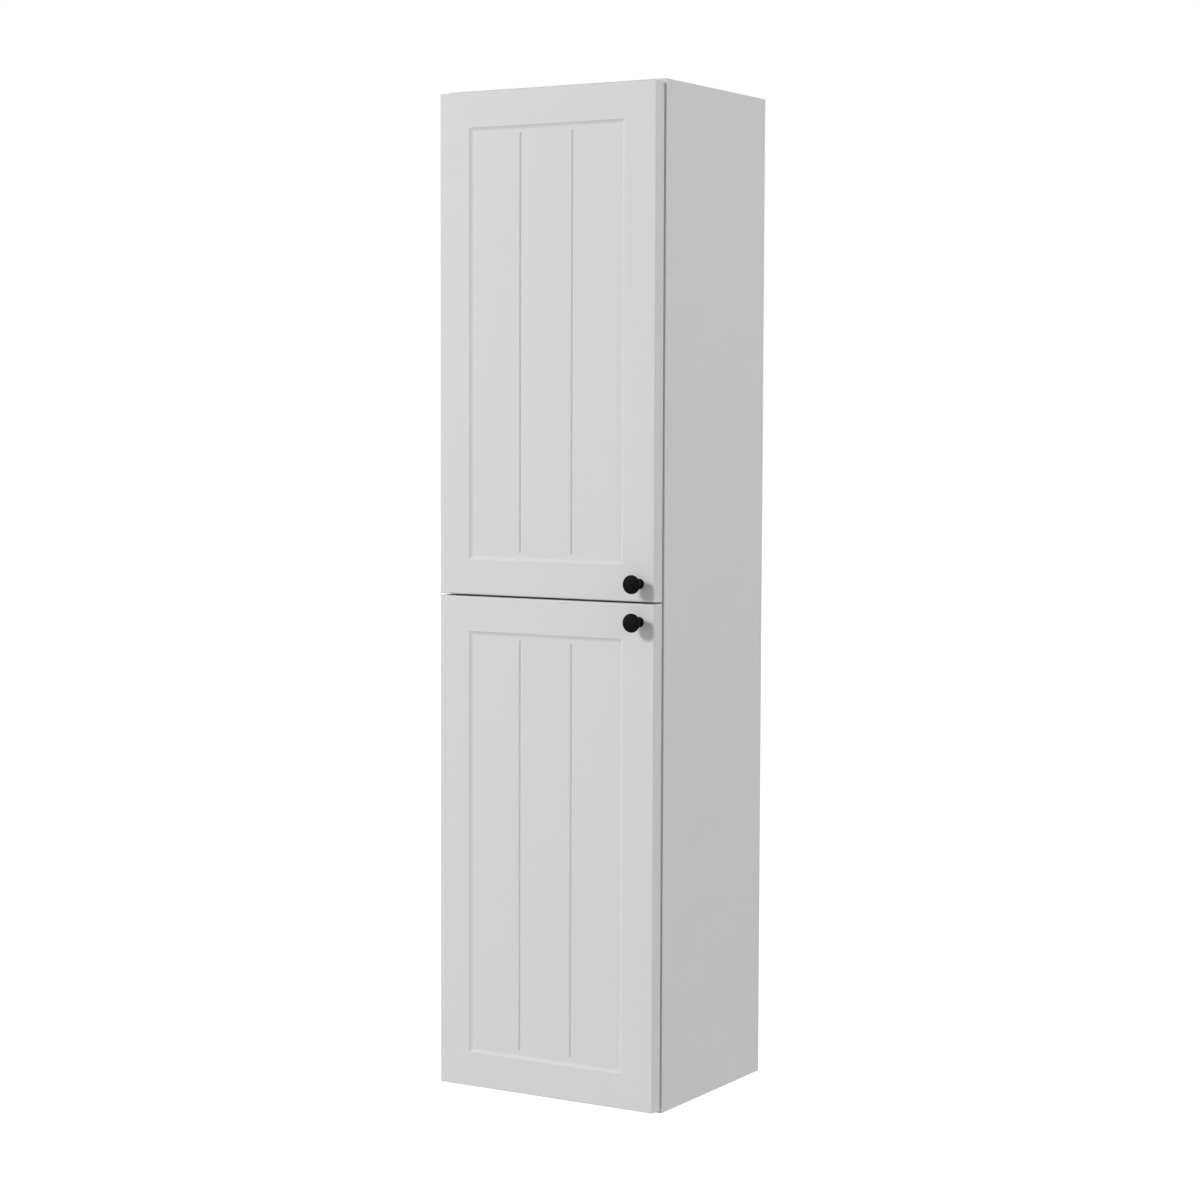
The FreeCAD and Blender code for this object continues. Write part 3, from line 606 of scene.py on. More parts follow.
def door_slab(name, low, high):
    work = bmesh.new()
    left, front, bottom = low
    right, back, top = high
    width_count, height_count = len(columns), len(rows)
    grid = [[work.verts.new((left + x, front, bottom + z)) for x in columns] for z in rows]
    corner_cells = len(border_lines()) - 1
    for j in range(height_count - 1):
        for i in range(width_count - 1):
            a, b, c, d = grid[j][i], grid[j][i + 1], grid[j + 1][i + 1], grid[j + 1][i]
            from_side = min(i, width_count - 2 - i)
            from_end = min(j, height_count - 2 - j)
            if from_side == from_end and from_side < corner_cells:
                rising = (i < width_count / 2) == (j < height_count / 2)
                cells = [(a, b, c), (a, c, d)] if rising else [(a, b, d), (b, c, d)]
            else:
                cells = [(a, b, c, d)]
            for cell in cells:
                work.faces.new(cell)
    rim = grid[0] + [row[-1] for row in grid[1:-1]] + grid[-1][::-1]
    rim += [row[0] for row in grid[-2:0:-1]]
    rings = [rim]
    for step in range(back_round_steps + 1):
        angle = math.pi / 2 * step / back_round_steps
        inset = door_back_round * (1 - math.cos(angle))
        y = back - door_back_round * (1 - math.sin(angle))
        ring = []
        for corner in rim:
            x = min(max(corner.co.x, left + inset), right - inset)
            z = min(max(corner.co.z, bottom + inset), top - inset)
            ring.append(work.verts.new((x, y, z)))
        rings.append(ring)
    for near, far in zip(rings, rings[1:]):
        for i in range(len(rim)):
            after = (i + 1) % len(rim)
            work.faces.new((near[after], near[i], far[i], far[after]))
    work.faces.new(rings[-1])
    bmesh.ops.remove_doubles(work, verts=work.verts, dist=weld_distance)
    bmesh.ops.recalc_face_normals(work, faces=work.faces)
    return plain_mesh(work, name)


# %% [markdown]
# The relief tree. `edge` is how far a point lies from the nearest door edge. `along` is the share
# of the cove that lies behind the point, from 0 at the frame to 1 at the panel. The hollow is steep
# at the frame and runs out flat, so it is one minus the square of what is left of that share.
# Smooth maximum leaves a small radius at the crease. A groove is a V that runs out to a point: the
# smaller of its half width and the distance from its end, minus the distance from its middle.

# %% Relief tree
def geometry_tree(name, inputs):
    tree = bpy.data.node_groups.new(name, "GeometryNodeTree")
    tree.interface.new_socket("Geometry", in_out="INPUT", socket_type="NodeSocketGeometry")
    for label, kind in inputs:
        tree.interface.new_socket(label, in_out="INPUT", socket_type="NodeSocket" + kind)
    tree.interface.new_socket("Geometry", in_out="OUTPUT", socket_type="NodeSocketGeometry")
    return tree, tree.nodes.new("NodeGroupInput"), tree.nodes.new("NodeGroupOutput")


def dress(tree, inside, result, shape):
    """Ends a tree: copies become real geometry, and the shape gets its finish."""
    real = place(tree, "GeometryNodeRealizeInstances", {0: shape})
    dressed = place(tree, "GeometryNodeSetMaterial", {"Geometry": out(real),
                                                      "Material": out(inside, "Finish")})
    plug(tree, out(dressed), result.inputs[0])


def relief_tree():
    sizes = ["Left", "Bottom", "Front", "Width", "Height", "Edge Round", "Frame Width", "Cove Width",
             "Recess", "Boards", "Vee Width", "Vee Depth", "Vee End Gap", "Crease Soft", "Vee Soft"]
    tree, inside, result = geometry_tree("panelled door relief",
                                         [(label, "Float") for label in sizes] + [("Finish", "Material")])
    size = {label: out(inside, label) for label in sizes}
    spot = place(tree, "ShaderNodeSeparateXYZ", {0: out(place(tree, "GeometryNodeInputPosition"))})
    across, depth, up = out(spot, 0) - size["Left"], out(spot, 1), out(spot, 2) - size["Bottom"]
    from_side = across.least(size["Width"] - across)
    from_end = up.least(size["Height"] - up)
    edge = from_side.least(from_end)

    short = size["Edge Round"] - edge.least(size["Edge Round"])
    square = size["Edge Round"] * size["Edge Round"]
    rounding = size["Edge Round"] - (square - short * short).most(0.0).math("SQRT")

    panel_edge = size["Frame Width"] + size["Cove Width"]
    behind = (edge - size["Frame Width"]).math("SMOOTH_MAX", 0.0, size["Crease Soft"])
    left_over = 1.0 - (behind / size["Cove Width"]).least(1.0)
    cove = size["Recess"] * (1.0 - left_over * left_over)

    pitch = (size["Width"] - size["Frame Width"] * 2.0) / size["Boards"]
    place_in_panel = (across - size["Frame Width"]) / pitch
    nearest = place_in_panel.math("ROUND")
    is_groove = nearest.math("GREATER_THAN", 0.5) * nearest.math("LESS_THAN", size["Boards"] - 0.5)
    off_middle = (place_in_panel - nearest).math("ABSOLUTE") * pitch
    blunt = (off_middle * off_middle + size["Vee Soft"] * size["Vee Soft"] * 0.25).math("SQRT")
    half = size["Vee Width"] * 0.5
    past_end = from_end - panel_edge - size["Vee End Gap"]
    cut = (past_end.least(half) - blunt) * size["Vee Depth"] / half
    vee = cut.math("SMOOTH_MAX", 0.0, size["Vee Soft"]) * is_groove

    sink = rounding + cove + vee
    offset = place(tree, "ShaderNodeCombineXYZ", {1: sink})
    on_face = depth.math("LESS_THAN", size["Front"] + 0.01 * mm)
    moved = place(tree, "GeometryNodeSetPosition", {"Geometry": out(inside, "Geometry"),
                                                    "Selection": on_face, "Offset": out(offset)})
    dress(tree, inside, result, out(moved))
    return tree


def grown(name, mesh, tree, sizes):
    """Runs a Geometry Nodes tree on a mesh and keeps the result as a plain mesh."""
    piece = linked(name, mesh)
    growth = piece.modifiers.new("growth", "NODES")
    growth.node_group = tree
    for socket in tree.interface.items_tree:
        if socket.in_out == "INPUT" and socket.name in sizes:
            growth[socket.identifier] = sizes[socket.name]
    evaluated(piece)
    return piece


relief = relief_tree()

# %% [markdown]
# Places come as a small mesh of loose points, each with the direction its fitting points in.
# A tree copies one part to every point and turns it that way, which is how screws, pegs and caps
# are set out. The part itself is turned like on a lathe: a profile swept round a circle.

# %% Places, and a lathe made of nodes
LATHE_CORE = 0.01 * mm       # radius of the circle that the profile is swept round


def spots_mesh(name, spots):
    """Loose points with a direction each. spots is a list of (position, way)."""
    mesh = bpy.data.meshes.new(name)
    mesh.from_pydata([tuple(position) for position, way in spots], [], [])
    ways = mesh.attributes.new("way", "FLOAT_VECTOR", "POINT")
    for index, (position, way) in enumerate(spots):
        ways.data[index].vector = way
    return mesh


def profile_curve(tree, points):
    """A curve through points given as (radius, height), each a number or a wire."""
    line = place(tree, "GeometryNodeMeshLine", {"Count": len(points)})
    chosen = place(tree, "GeometryNodeIndexSwitch", data_type="VECTOR")
    for extra in range(len(points) - 2):
        chosen.index_switch_items.new()
    plug(tree, out(place(tree, "GeometryNodeInputIndex")), chosen.inputs[0])
    for index, (radius, height) in enumerate(points):
        corner = tree.nodes.new("ShaderNodeCombineXYZ")
        plug(tree, radius, corner.inputs[0])
        plug(tree, height, corner.inputs[1])
        tree.links.new(corner.outputs[0], chosen.inputs[index + 1])
    placed = place(tree, "GeometryNodeSetPosition", {"Geometry": out(line), "Position": out(chosen)})
    return out(place(tree, "GeometryNodeMeshToCurve", {0: out(placed)}))


def lathe(tree, points, corner_radius, sides):
    """Turns a profile about Z. The sweep turns heights upside down, so they are negated first."""
    flipped = [(radius, height * -1.0) for radius, height in points]
    curve = profile_curve(tree, flipped)
    eased = place(tree, "GeometryNodeFilletCurve", {"Curve": curve, "Count": 3, "Radius": corner_radius,
                                                    "Limit Radius": True}, mode="POLY")
    circle = place(tree, "GeometryNodeCurvePrimitiveCircle", {"Resolution": sides, "Radius": LATHE_CORE})
    turned = place(tree, "GeometryNodeCurveToMesh", {"Curve": out(circle), "Profile Curve": out(eased)})
    closed = place(tree, "GeometryNodeMergeByDistance", {"Geometry": out(turned),
                                                         "Distance": 2.5 * LATHE_CORE})
    return out(closed)


def set_out(tree, inside, result, part):
    """Copies a part to every place, turned along that place's way, then makes it real."""
    way = place(tree, "GeometryNodeInputNamedAttribute", {"Name": "way"}, data_type="FLOAT_VECTOR")
    turn = place(tree, "FunctionNodeAlignRotationToVector", {"Vector": out(way)}, axis="Z")
    copies = place(tree, "GeometryNodeInstanceOnPoints", {"Points": out(inside, "Geometry"),
                                                          "Instance": part, "Rotation": out(turn)})
    dress(tree, inside, result, out(copies))


# %% [markdown]
# A peg is a plain turned pin with eased ends. It serves as shelf pin, hinge pin, bumper and cover
# cap, and also as the drill: the same tree makes the solids that are cut out for holes.

# %% Peg tree
def peg_tree():
    tree, inside, result = geometry_tree("peg", [("Radius", "Float"), ("Length", "Float"),
                                                 ("Edge Round", "Float"), ("Sides", "Int"),
                                                 ("Finish", "Material")])
    radius, length = out(inside, "Radius"), out(inside, "Length")
    part = lathe(tree, [(0.0, length), (radius, length), (radius, 0.0), (0.0, 0.0)],
                 out(inside, "Edge Round"), out(inside, "Sides"))
    set_out(tree, inside, result, part)
    return tree


peg = peg_tree()


def pegs(name, spots, radius, length, finish, edge_round, sides):
    """Pegs that start at each spot and run along its way."""
    return grown(name, spots_mesh(name, spots), peg,
                 {"Radius": radius, "Length": length, "Edge Round": edge_round, "Sides": sides,
                  "Finish": finish})


# %% Boring
drill_overrun = 1 * mm       # how far a drill stands out of the surface that it enters


def bored(piece, spots, radius, depth, sides):
    """Bores a hole at each spot along its way. The walls of the holes show the raw core."""
    drill = pegs("drill", spots, radius, depth, raw_core, edge_round=0.0, sides=sides)
    cut = piece.modifiers.new("drill", "BOOLEAN")
    cut.operation = "DIFFERENCE"
    cut.solver = "EXACT"
    cut.material_mode = "TRANSFER"
    cut.object = drill
    evaluated(piece)
    bpy.data.objects.remove(drill)


# %% [markdown]
# A hinge cup is let into each door at two heights. The bores are cut after the relief is made, and
# their walls show the raw core. Their places come from the construction's own cups.

# %% Make the doors
door_names = ["upper_door", "lower_door"]
hinge_ends = ["bottom", "top"]
cup_bore_radius = 17.5 * mm
cup_bore_floor = 0.4 * mm    # left under the cup
cup_rim_radius = 18.5 * mm   # the cup's leftmost part
towards_room = Vector((0, -1, 0))
towards_wall = Vector((0, 1, 0))


def cup_centre(door, hinge_end):
    """Middle of a hinge cup's round part, on the door's back face."""
    low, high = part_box("hinge_cup_%s_%s" % (door, hinge_end))
    return Vector((low.x + cup_rim_radius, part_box(door)[1].y, (low.z + high.z) / 2))


for door in door_names:
    low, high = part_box(door)
    piece = grown(door, door_slab(door, low, high), relief,
                  {"Left": low.x, "Bottom": low.z, "Front": low.y, "Width": door_width,
                   "Height": door_height, "Edge Round": door_edge_round, "Frame Width": frame_width,
                   "Cove Width": cove_width, "Recess": panel_recess, "Boards": float(boards_in_panel),
                   "Vee Width": vee_width, "Vee Depth": vee_depth, "Vee End Gap": vee_end_gap,
                   "Crease Soft": crease_soft, "Vee Soft": vee_soft, "Finish": white_lacquer})
    bores = []
    for hinge_end in hinge_ends:
        centre = cup_centre(door, hinge_end)
        cup_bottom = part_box("hinge_cup_%s_%s" % (door, hinge_end))[0].y
        bores.append((Vector((centre.x, cup_bottom - cup_bore_floor, centre.z)), towards_wall))
    bored(piece, bores, cup_bore_radius, high.y - bores[0][0].y + drill_overrun, sides=64)
    fit(piece, door)

# %% [markdown]
# ## The knobs
# Each knob is turned from one bar: a foot on the door, a narrow waist for the fingertips and a
# round head with a softly domed face. The outline below is one curve through a few turned sizes.
# It is swept in Python rather than in nodes, because the curve has arcs with their own radii.

# %% Knob outline
knob_head_radius = 14.75 * mm
knob_foot_radius = 8.0 * mm
knob_length = 31.5 * mm
knob_sides = 96


def through(start, middle, end, steps):
    """Points on the arc through three points given as (radius, height)."""
    (ax, ay), (bx, by), (cx, cy) = start, middle, end
    d = 2 * (ax * (by - cy) + bx * (cy - ay) + cx * (ay - by))
    ux = ((ax**2 + ay**2) * (by - cy) + (bx**2 + by**2) * (cy - ay) + (cx**2 + cy**2) * (ay - by)) / d
    uy = ((ax**2 + ay**2) * (cx - bx) + (bx**2 + by**2) * (ax - cx) + (cx**2 + cy**2) * (bx - ax)) / d
    radius = math.hypot(ax - ux, ay - uy)
    first = math.atan2(ay - uy, ax - ux)
    last = math.atan2(cy - uy, cx - ux)
    halfway = math.atan2(by - uy, bx - ux)
    sweep = (last - first) % (2 * math.pi)
    if (halfway - first) % (2 * math.pi) > sweep:
        sweep -= 2 * math.pi
    return [(ux + radius * math.cos(first + sweep * step / steps),
             uy + radius * math.sin(first + sweep * step / steps)) for step in range(steps + 1)]


def knob_outline():
    """(radius, height) from the foot's middle to the dome's. Each arc starts where the last ended."""
    foot, head = knob_foot_radius, knob_head_radius
    rim = (head - 3.4 * mm, knob_length - 2 * mm)
    foot_edge = ((foot, 0.4 * mm), (foot, 1.2 * mm), 4)
    foot_top = ((foot - 0.35 * mm, 2.0 * mm), (foot - 1.0 * mm, 3.2 * mm), 4)
    waist = ((foot - 1.8 * mm, 8.5 * mm), (foot - 1.2 * mm, 14.5 * mm), 10)
    flare = ((foot + 1.2 * mm, 18.9 * mm), (head - 2.6 * mm, 21.1 * mm), 8)
    head_edge = ((head, 25.1 * mm), rim, 18)
    dome = ((rim[0] / 2, knob_length - 0.5 * mm), (0, knob_length), 10)
    start = (foot - 0.4 * mm, 0)
    outline = [(0, 0), start]
    for middle, end, steps in (foot_edge, foot_top, waist, flare, head_edge, dome):
        outline += through(start, middle, end, steps)[1:]
        start = end
    return outline


# %% Turn the knobs
def turned(name, outline, base, way):
    """Turns an outline of (radius, height) about a line from base along way, with closed poles."""
    turn = Vector((0, 0, 1)).rotation_difference(way).to_matrix()
    work = bmesh.new()
    rings = []
    for radius, height in outline:
        if radius < weld_distance:
            rings.append([work.verts.new(base + turn @ Vector((0, 0, height)))])
            continue
        ring = []
        for side in range(knob_sides):
            angle = 2 * math.pi * side / knob_sides
            spot = Vector((radius * math.cos(angle), radius * math.sin(angle), height))
            ring.append(work.verts.new(base + turn @ spot))
        rings.append(ring)
    for near, far in zip(rings, rings[1:]):
        for side in range(knob_sides):
            after = (side + 1) % knob_sides
            corners = [near[side % len(near)], near[after % len(near)],
                       far[after % len(far)], far[side % len(far)]]
            unique = list(dict.fromkeys(corners))
            work.faces.new(unique)
    bmesh.ops.recalc_face_normals(work, faces=work.faces)
    return plain_mesh(work, name)


for door in door_names:
    low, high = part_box("knob_" + door)
    foot = Vector(((low.x + high.x) / 2, high.y, (low.z + high.z) / 2))
    piece = linked("knob", turned("knob", knob_outline(), foot, towards_room))
    piece.data.materials.append(black_powder)
    fit(piece, "knob_" + door)

# %% [markdown]
# ## The carcass
# Boards are boxes with their long edges eased, because no edge of a real board is a knife edge.
# A Bevel modifier eases each edge by its own weight: the outer edges of the side panels by 1 mm,
# the edge-banded ones by a third of that. Rear edges stay raw, so they get the core's finish.

# %% Board maker
full_ease = 1.0 * mm


def board(name, low, high, weight_of_edge, face_finish, raw_rear=True):
    """A box with eased edges. weight_of_edge takes an edge's middle and gives its share of 1 mm."""
    work = bmesh.new()
    bmesh.ops.create_cube(work, size=1.0)
    middle, size = (low + high) / 2, high - low
    for vertex in work.verts:
        vertex.co = middle + Vector(a * b for a, b in zip(vertex.co, size))
    weights = work.edges.layers.float.new("bevel_weight_edge")
    for edge in work.edges:
        edge[weights] = weight_of_edge((edge.verts[0].co + edge.verts[1].co) / 2)
    piece = linked(name, plain_mesh(work, name))
    piece.data.materials.append(face_finish)
    piece.data.materials.append(raw_core)
    ease = piece.modifiers.new("ease", "BEVEL")
    ease.limit_method = "WEIGHT"
    ease.width = full_ease
    ease.segments = 4
    evaluated(piece)
    if raw_rear:
        for face in piece.data.polygons:
            if face.normal.y > 0.9 and abs(face.center.y - high.y) < 0.01 * mm:
                face.material_index = 1
    return piece


def all_edges(weight):
    return lambda middle: weight


# %% [markdown]
# The side panels carry two rows of pin holes, 5 mm wide at 32 mm steps, two under and two over
# each shelf. The shelf's own pin fills the middle hole. The hinge plates cover their screw holes,
# and the back covers its groove, so only the pin holes are cut.

# %% Side panels
X, Y, Z = range(3)
shelf_names = ["shelf_1", "shelf_2", "shelf_3", "shelf_4"]
pin_radius = 2.5 * mm
pin_hole_radius = 2.55 * mm
pin_hole_depth = 9 * mm
pin_row_pitch = 32 * mm
spare_steps = (-2, -1, 0, 1, 2)
pin_heights = [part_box(name)[0].z - pin_hole_radius for name in shelf_names]
to_side = {"left": Vector((-1, 0, 0)), "right": Vector((1, 0, 0))}


def end_centres(node, axis, radius):
    """Centres, along one axis, of the round parts that touch both ends of a piece's box."""
    low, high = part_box(node)
    return [low[axis] + radius, high[axis] - radius]


pin_rows = end_centres("shelf_pins", Y, pin_radius)
for side, outwards in to_side.items():
    node = "side_panel_" + side
    low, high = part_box(node)
    outer_x, inner_x = (low.x, high.x) if side == "left" else (high.x, low.x)

    def weight(middle):
        outer = abs(middle.x - outer_x) < 0.1 * mm
        rear = middle.y > -1 * mm
        return 1.0 if outer and not rear else 0.3

    piece = board(node, low, high, weight, white_laminate)
    start = inner_x - outwards.x * drill_overrun
    holes = [(Vector((start, y, height + step * pin_row_pitch)), outwards)
             for height in pin_heights for step in spare_steps for y in pin_rows]
    bored(piece, holes, pin_hole_radius, pin_hole_depth + drill_overrun, sides=24)
    fit(piece, node)

# %% [markdown]
# The fixed boards are drawn to the sides by cams, each in a round bore that a plastic cap closes
# flush. The bore opens where the cap shows: on top of the top panel, under the other two boards.

# %% Top, bottom and middle board, and rear rail
cap_radius = 7.4 * mm
cap_thickness = 1.0 * mm
cam_bore_radius = 7.5 * mm
cam_bore_depth = 13 * mm
upwards = Vector((0, 0, 1))
cap_corners = [(x, y) for x in end_centres("cam_cover_caps", X, cap_radius)
               for y in end_centres("cam_cover_caps", Y, cap_radius)]
cap_spots = []
for node, opens in (("top_panel", upwards), ("bottom_panel", -upwards), ("middle_shelf", -upwards)):
    low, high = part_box(node)
    piece = board(node, low, high, all_edges(0.15), white_laminate, raw_rear=node != "middle_shelf")
    face_z = high.z if opens.z > 0 else low.z
    bores = [(Vector((x, y, face_z)) - opens * cam_bore_depth, opens) for x, y in cap_corners]
    cap_spots += [(Vector((x, y, face_z)) - opens * cap_thickness, opens) for x, y in cap_corners]
    bored(piece, bores, cam_bore_radius, cam_bore_depth + drill_overrun, sides=48)
    fit(piece, node)

low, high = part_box("lower_rear_rail")
piece = board("rail", low, high, all_edges(0.15), white_laminate, raw_rear=False)
for face in piece.data.polygons:
    if abs(face.normal.z) > 0.9:
        face.material_index = 1
fit(piece, "lower_rear_rail")

# %% Shelves
for node in shelf_names:
    low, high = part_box(node)

    def weight(middle, front=low.y):
        return 0.8 if abs(middle.y - front) < 0.1 * mm else 0.25

    fit(board(node, low, high, weight, white_laminate), node)

# %% Backs
for node in ("back_panel_upper", "back_panel_lower"):
    low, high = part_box(node)
    piece = board(node, low, high, all_edges(0.1), printed_hardboard)
    piece.data.materials[1] = bare_hardboard
    fit(piece, node)

# %% [markdown]
# ## Hinges, hangers and other hardware
# These shapes are true in the construction model already, but its mesh is loose triangles with
# knife edges. A copy is merged into whole faces, and a fine Bevel eases each sharp edge, as
# tumbling and plating do. That small round is what catches the light on real hardware.

# %% Copy of a construction piece with eased edges
copy_weld = 0.002 * mm
flat_within = math.radians(1.0)
sharp_above = 30             # degrees between two faces


def eased_copy(node, finish, ease):
    work = bmesh.new()
    work.from_mesh(nodes[node].data)
    bmesh.ops.remove_doubles(work, verts=work.verts, dist=copy_weld)
    bmesh.ops.dissolve_limit(work, angle_limit=flat_within, verts=work.verts, edges=work.edges)
    piece = linked(node, plain_mesh(work, node))
    piece.data.materials.clear()
    piece.data.materials.append(finish)
    round_over = piece.modifiers.new("ease", "BEVEL")
    round_over.limit_method = "ANGLE"
    round_over.angle_limit = math.radians(sharp_above)
    round_over.width = ease
    round_over.segments = 2
    round_over.use_clamp_overlap = True
    evaluated(piece)
    fit(piece, node, sharp_angle=sharp_above)


hinge_names = ["%s_%s" % (door, hinge_end) for door in door_names for hinge_end in hinge_ends]
for name in hinge_names:
    eased_copy("hinge_arm_" + name, nickel_plate, 0.25 * mm)
    eased_copy("hinge_cup_" + name, nickel_plate, 0.2 * mm)
    eased_copy("hinge_plate_" + name, die_casting, 0.4 * mm)
for side in to_side:
    eased_copy("hanger_housing_" + side, white_plastic, 0.5 * mm)
    eased_copy("hanger_hook_" + side, zinc_plate, 0.3 * mm)
eased_copy("wall_rail", zinc_plate, 0.3 * mm)
eased_copy("back_joining_strip", white_plastic, 0.2 * mm)
for door in door_names:
    eased_copy("hinge_springs_" + door, spring_strip, 0.08 * mm)

# %% [markdown]
# A screw is a turned head and shank with a cross cut into it. One tree makes every kind: the cone
# under the head turns a round-headed screw into a countersunk one, and a cross length of zero
# would leave the head plain. The shank runs backwards from the seat, into the wood.

# %% Screw tree
def screw_tree():
    sizes = ["Head Radius", "Head Height", "Cone Height", "Edge Round", "Shank Radius", "Shank Length",
             "Cross Reach", "Cross Width", "Cross Depth"]
    tree, inside, result = geometry_tree("screw", [(label, "Float") for label in sizes]
                                         + [("Slots", "Int"), ("Sides", "Int"), ("Finish", "Material")])
    size = {label: out(inside, label) for label in sizes}
    outline = [(0.0, size["Head Height"]), (size["Head Radius"] * 0.55, size["Head Height"]),
               (size["Head Radius"], size["Head Height"] * 0.45), (size["Head Radius"], 0.0),
               (size["Shank Radius"], size["Cone Height"] * -1.0),
               (size["Shank Radius"], size["Shank Length"] * -1.0), (0.0, size["Shank Length"] * -1.0)]
    body = lathe(tree, outline, size["Edge Round"], out(inside, "Sides"))
    cutters = place(tree, "GeometryNodeMeshLine", {"Count": out(inside, "Slots")})
    bar_size = place(tree, "ShaderNodeCombineXYZ", {0: size["Cross Reach"] * 2.0, 1: size["Cross Width"],
                                                    2: size["Cross Depth"] * 2.0})
    bar = place(tree, "GeometryNodeMeshCube", {"Size": out(bar_size)})
    quarter = out(place(tree, "GeometryNodeInputIndex")) * (math.pi / 2)
    turn = place(tree, "ShaderNodeCombineXYZ", {2: quarter})
    spot = place(tree, "ShaderNodeCombineXYZ", {2: size["Head Height"]})
    placed = place(tree, "GeometryNodeSetPosition", {"Geometry": out(cutters), "Position": out(spot)})
    cross = place(tree, "GeometryNodeInstanceOnPoints", {"Points": out(placed), "Instance": out(bar),
                                                         "Rotation": out(turn)})
    joined = place(tree, "GeometryNodeRealizeInstances", {0: out(cross)})
    cut = place(tree, "GeometryNodeMeshBoolean", {"Mesh 1": body, "Mesh 2": out(joined),
                                                  "Self Intersection": True},
                operation="DIFFERENCE", solver="EXACT")
    set_out(tree, inside, result, out(cut))
    return tree


screw = screw_tree()


def screws(name, spots, head, shank, cone_height=0.0, cross_reach=None, cross=(0.9 * mm, 0.9 * mm),
           slots=2):
    """Screws seated at each spot. head and shank are (radius, length), cross is (width, depth)."""
    reach = 0.62 * head[0] if cross_reach is None else cross_reach
    return grown(name, spots_mesh(name, spots), screw,
                 {"Head Radius": head[0], "Head Height": head[1], "Cone Height": cone_height,
                  "Edge Round": 0.25 * head[1], "Shank Radius": shank[0], "Shank Length": shank[1],
                  "Cross Reach": reach, "Cross Width": cross[0], "Cross Depth": cross[1],
                  "Slots": slots, "Sides": 32, "Finish": zinc_plate})


# %% Screws in the hinges
plate_screw_offset = 16 * mm
plate_thickness = 2 * mm
cup_screw_offset = 24 * mm
cup_screw_in = 6 * mm        # from the cup's centre towards the door's middle
cup_flange = 1.0 * mm
arm_screw_radius = 3.8 * mm
inwards = to_side["right"]

screws_low, screws_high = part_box("hinge_plate_screws")
plate_row = (screws_low.y + screws_high.y) / 2
plate_spots, arm_spots = [], []
for name in hinge_names:
    plate_low, plate_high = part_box("hinge_plate_" + name)
    middle_z = (plate_low.z + plate_high.z) / 2
    seat_x = plate_low.x + plate_thickness
    sheet_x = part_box("hinge_arm_" + name)[1].x
    plate_spots += [(Vector((seat_x, plate_row, middle_z + offset)), inwards)
                    for offset in (-plate_screw_offset, plate_screw_offset)]
    arm_spots += [(Vector((sheet_x, y, middle_z)), inwards)
                  for y in end_centres("hinge_arm_screws", Y, arm_screw_radius)]
fit(screws("plate screws", plate_spots, (3.6 * mm, 1.8 * mm), (1.9 * mm, 14 * mm)), "hinge_plate_screws")
fit(screws("arm screws", arm_spots, (arm_screw_radius, 1.9 * mm), (2.4 * mm, 9.5 * mm)),
    "hinge_arm_screws")

for door in door_names:
    spots = [(cup_centre(door, hinge_end) + Vector((cup_screw_in, cup_flange, offset)), towards_wall)
             for hinge_end in hinge_ends for offset in (-cup_screw_offset, cup_screw_offset)]
    fit(screws("cup screws", spots, (3.3 * mm, 0.05 * mm), (1.7 * mm, 14 * mm), cone_height=1.6 * mm),
        "cup_screws_" + door)

    low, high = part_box("knob_" + door)
    seat = Vector(((low.x + high.x) / 2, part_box(door)[1].y, (low.z + high.z) / 2))
    fit(screws("knob screw", [(seat, towards_wall)], (4.2 * mm, 2.3 * mm), (2.0 * mm, 39 * mm),
               cross=(1.0 * mm, 1.1 * mm)), "knob_screw_" + door)

# %% Screws in the hangers
fixing_low, fixing_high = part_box("hanger_fixing_screws")
fixing_row = (fixing_low.y + fixing_high.y) / 2
fixing_radius = 3.6 * mm
adjuster_radius = 4.2 * mm
adjuster_spots, fixing_spots = [], []
for side, outwards in to_side.items():
    low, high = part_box("hanger_housing_" + side)
    hook_low, hook_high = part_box("hanger_hook_" + side)
    middle_x = (hook_low.x + hook_high.x) / 2
    face_x = high.x if side == "left" else low.x
    adjuster_spots += [(Vector((middle_x, low.y, z)), towards_room)
                       for z in end_centres("hanger_adjusting_screws", Z, adjuster_radius)]
    fixing_spots += [(Vector((face_x, fixing_row, z)), -outwards)
                     for z in end_centres("hanger_fixing_screws", Z, fixing_radius)]
fit(screws("adjusters", adjuster_spots, (adjuster_radius, 2.6 * mm), (3.0 * mm, 9.8 * mm),
           cross_reach=6 * mm, cross=(1.2 * mm, 1.0 * mm), slots=1), "hanger_adjusting_screws")
fit(screws("fixing screws", fixing_spots, (fixing_radius, 2.0 * mm), (1.9 * mm, 24 * mm)),
    "hanger_fixing_screws")

# %% [markdown]
# Pins, caps and bumpers are pegs. Shelf pins reach 8 mm under the shelf, hinge pins lie in the
# lugs of their cups, caps close the cam bores flush with the board, and two clear soft discs at
# each door's opening corners land on the side panel.

# %% Pins, caps and bumpers
pin_length = 16.8 * mm
hinge_pin_radius = 1.5 * mm
half_pin = 10.2 * mm

pins_low, pins_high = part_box("shelf_pins")
tips = {"left": pins_low.x, "right": pins_high.x}
pin_spots = [(Vector((tips[side], y, height)), -outwards) for side, outwards in to_side.items()
             for height in pin_heights for y in pin_rows]
fit(pegs("shelf pins", pin_spots, pin_radius, pin_length, zinc_plate, edge_round=0.6 * mm, sides=28),
    "shelf_pins")

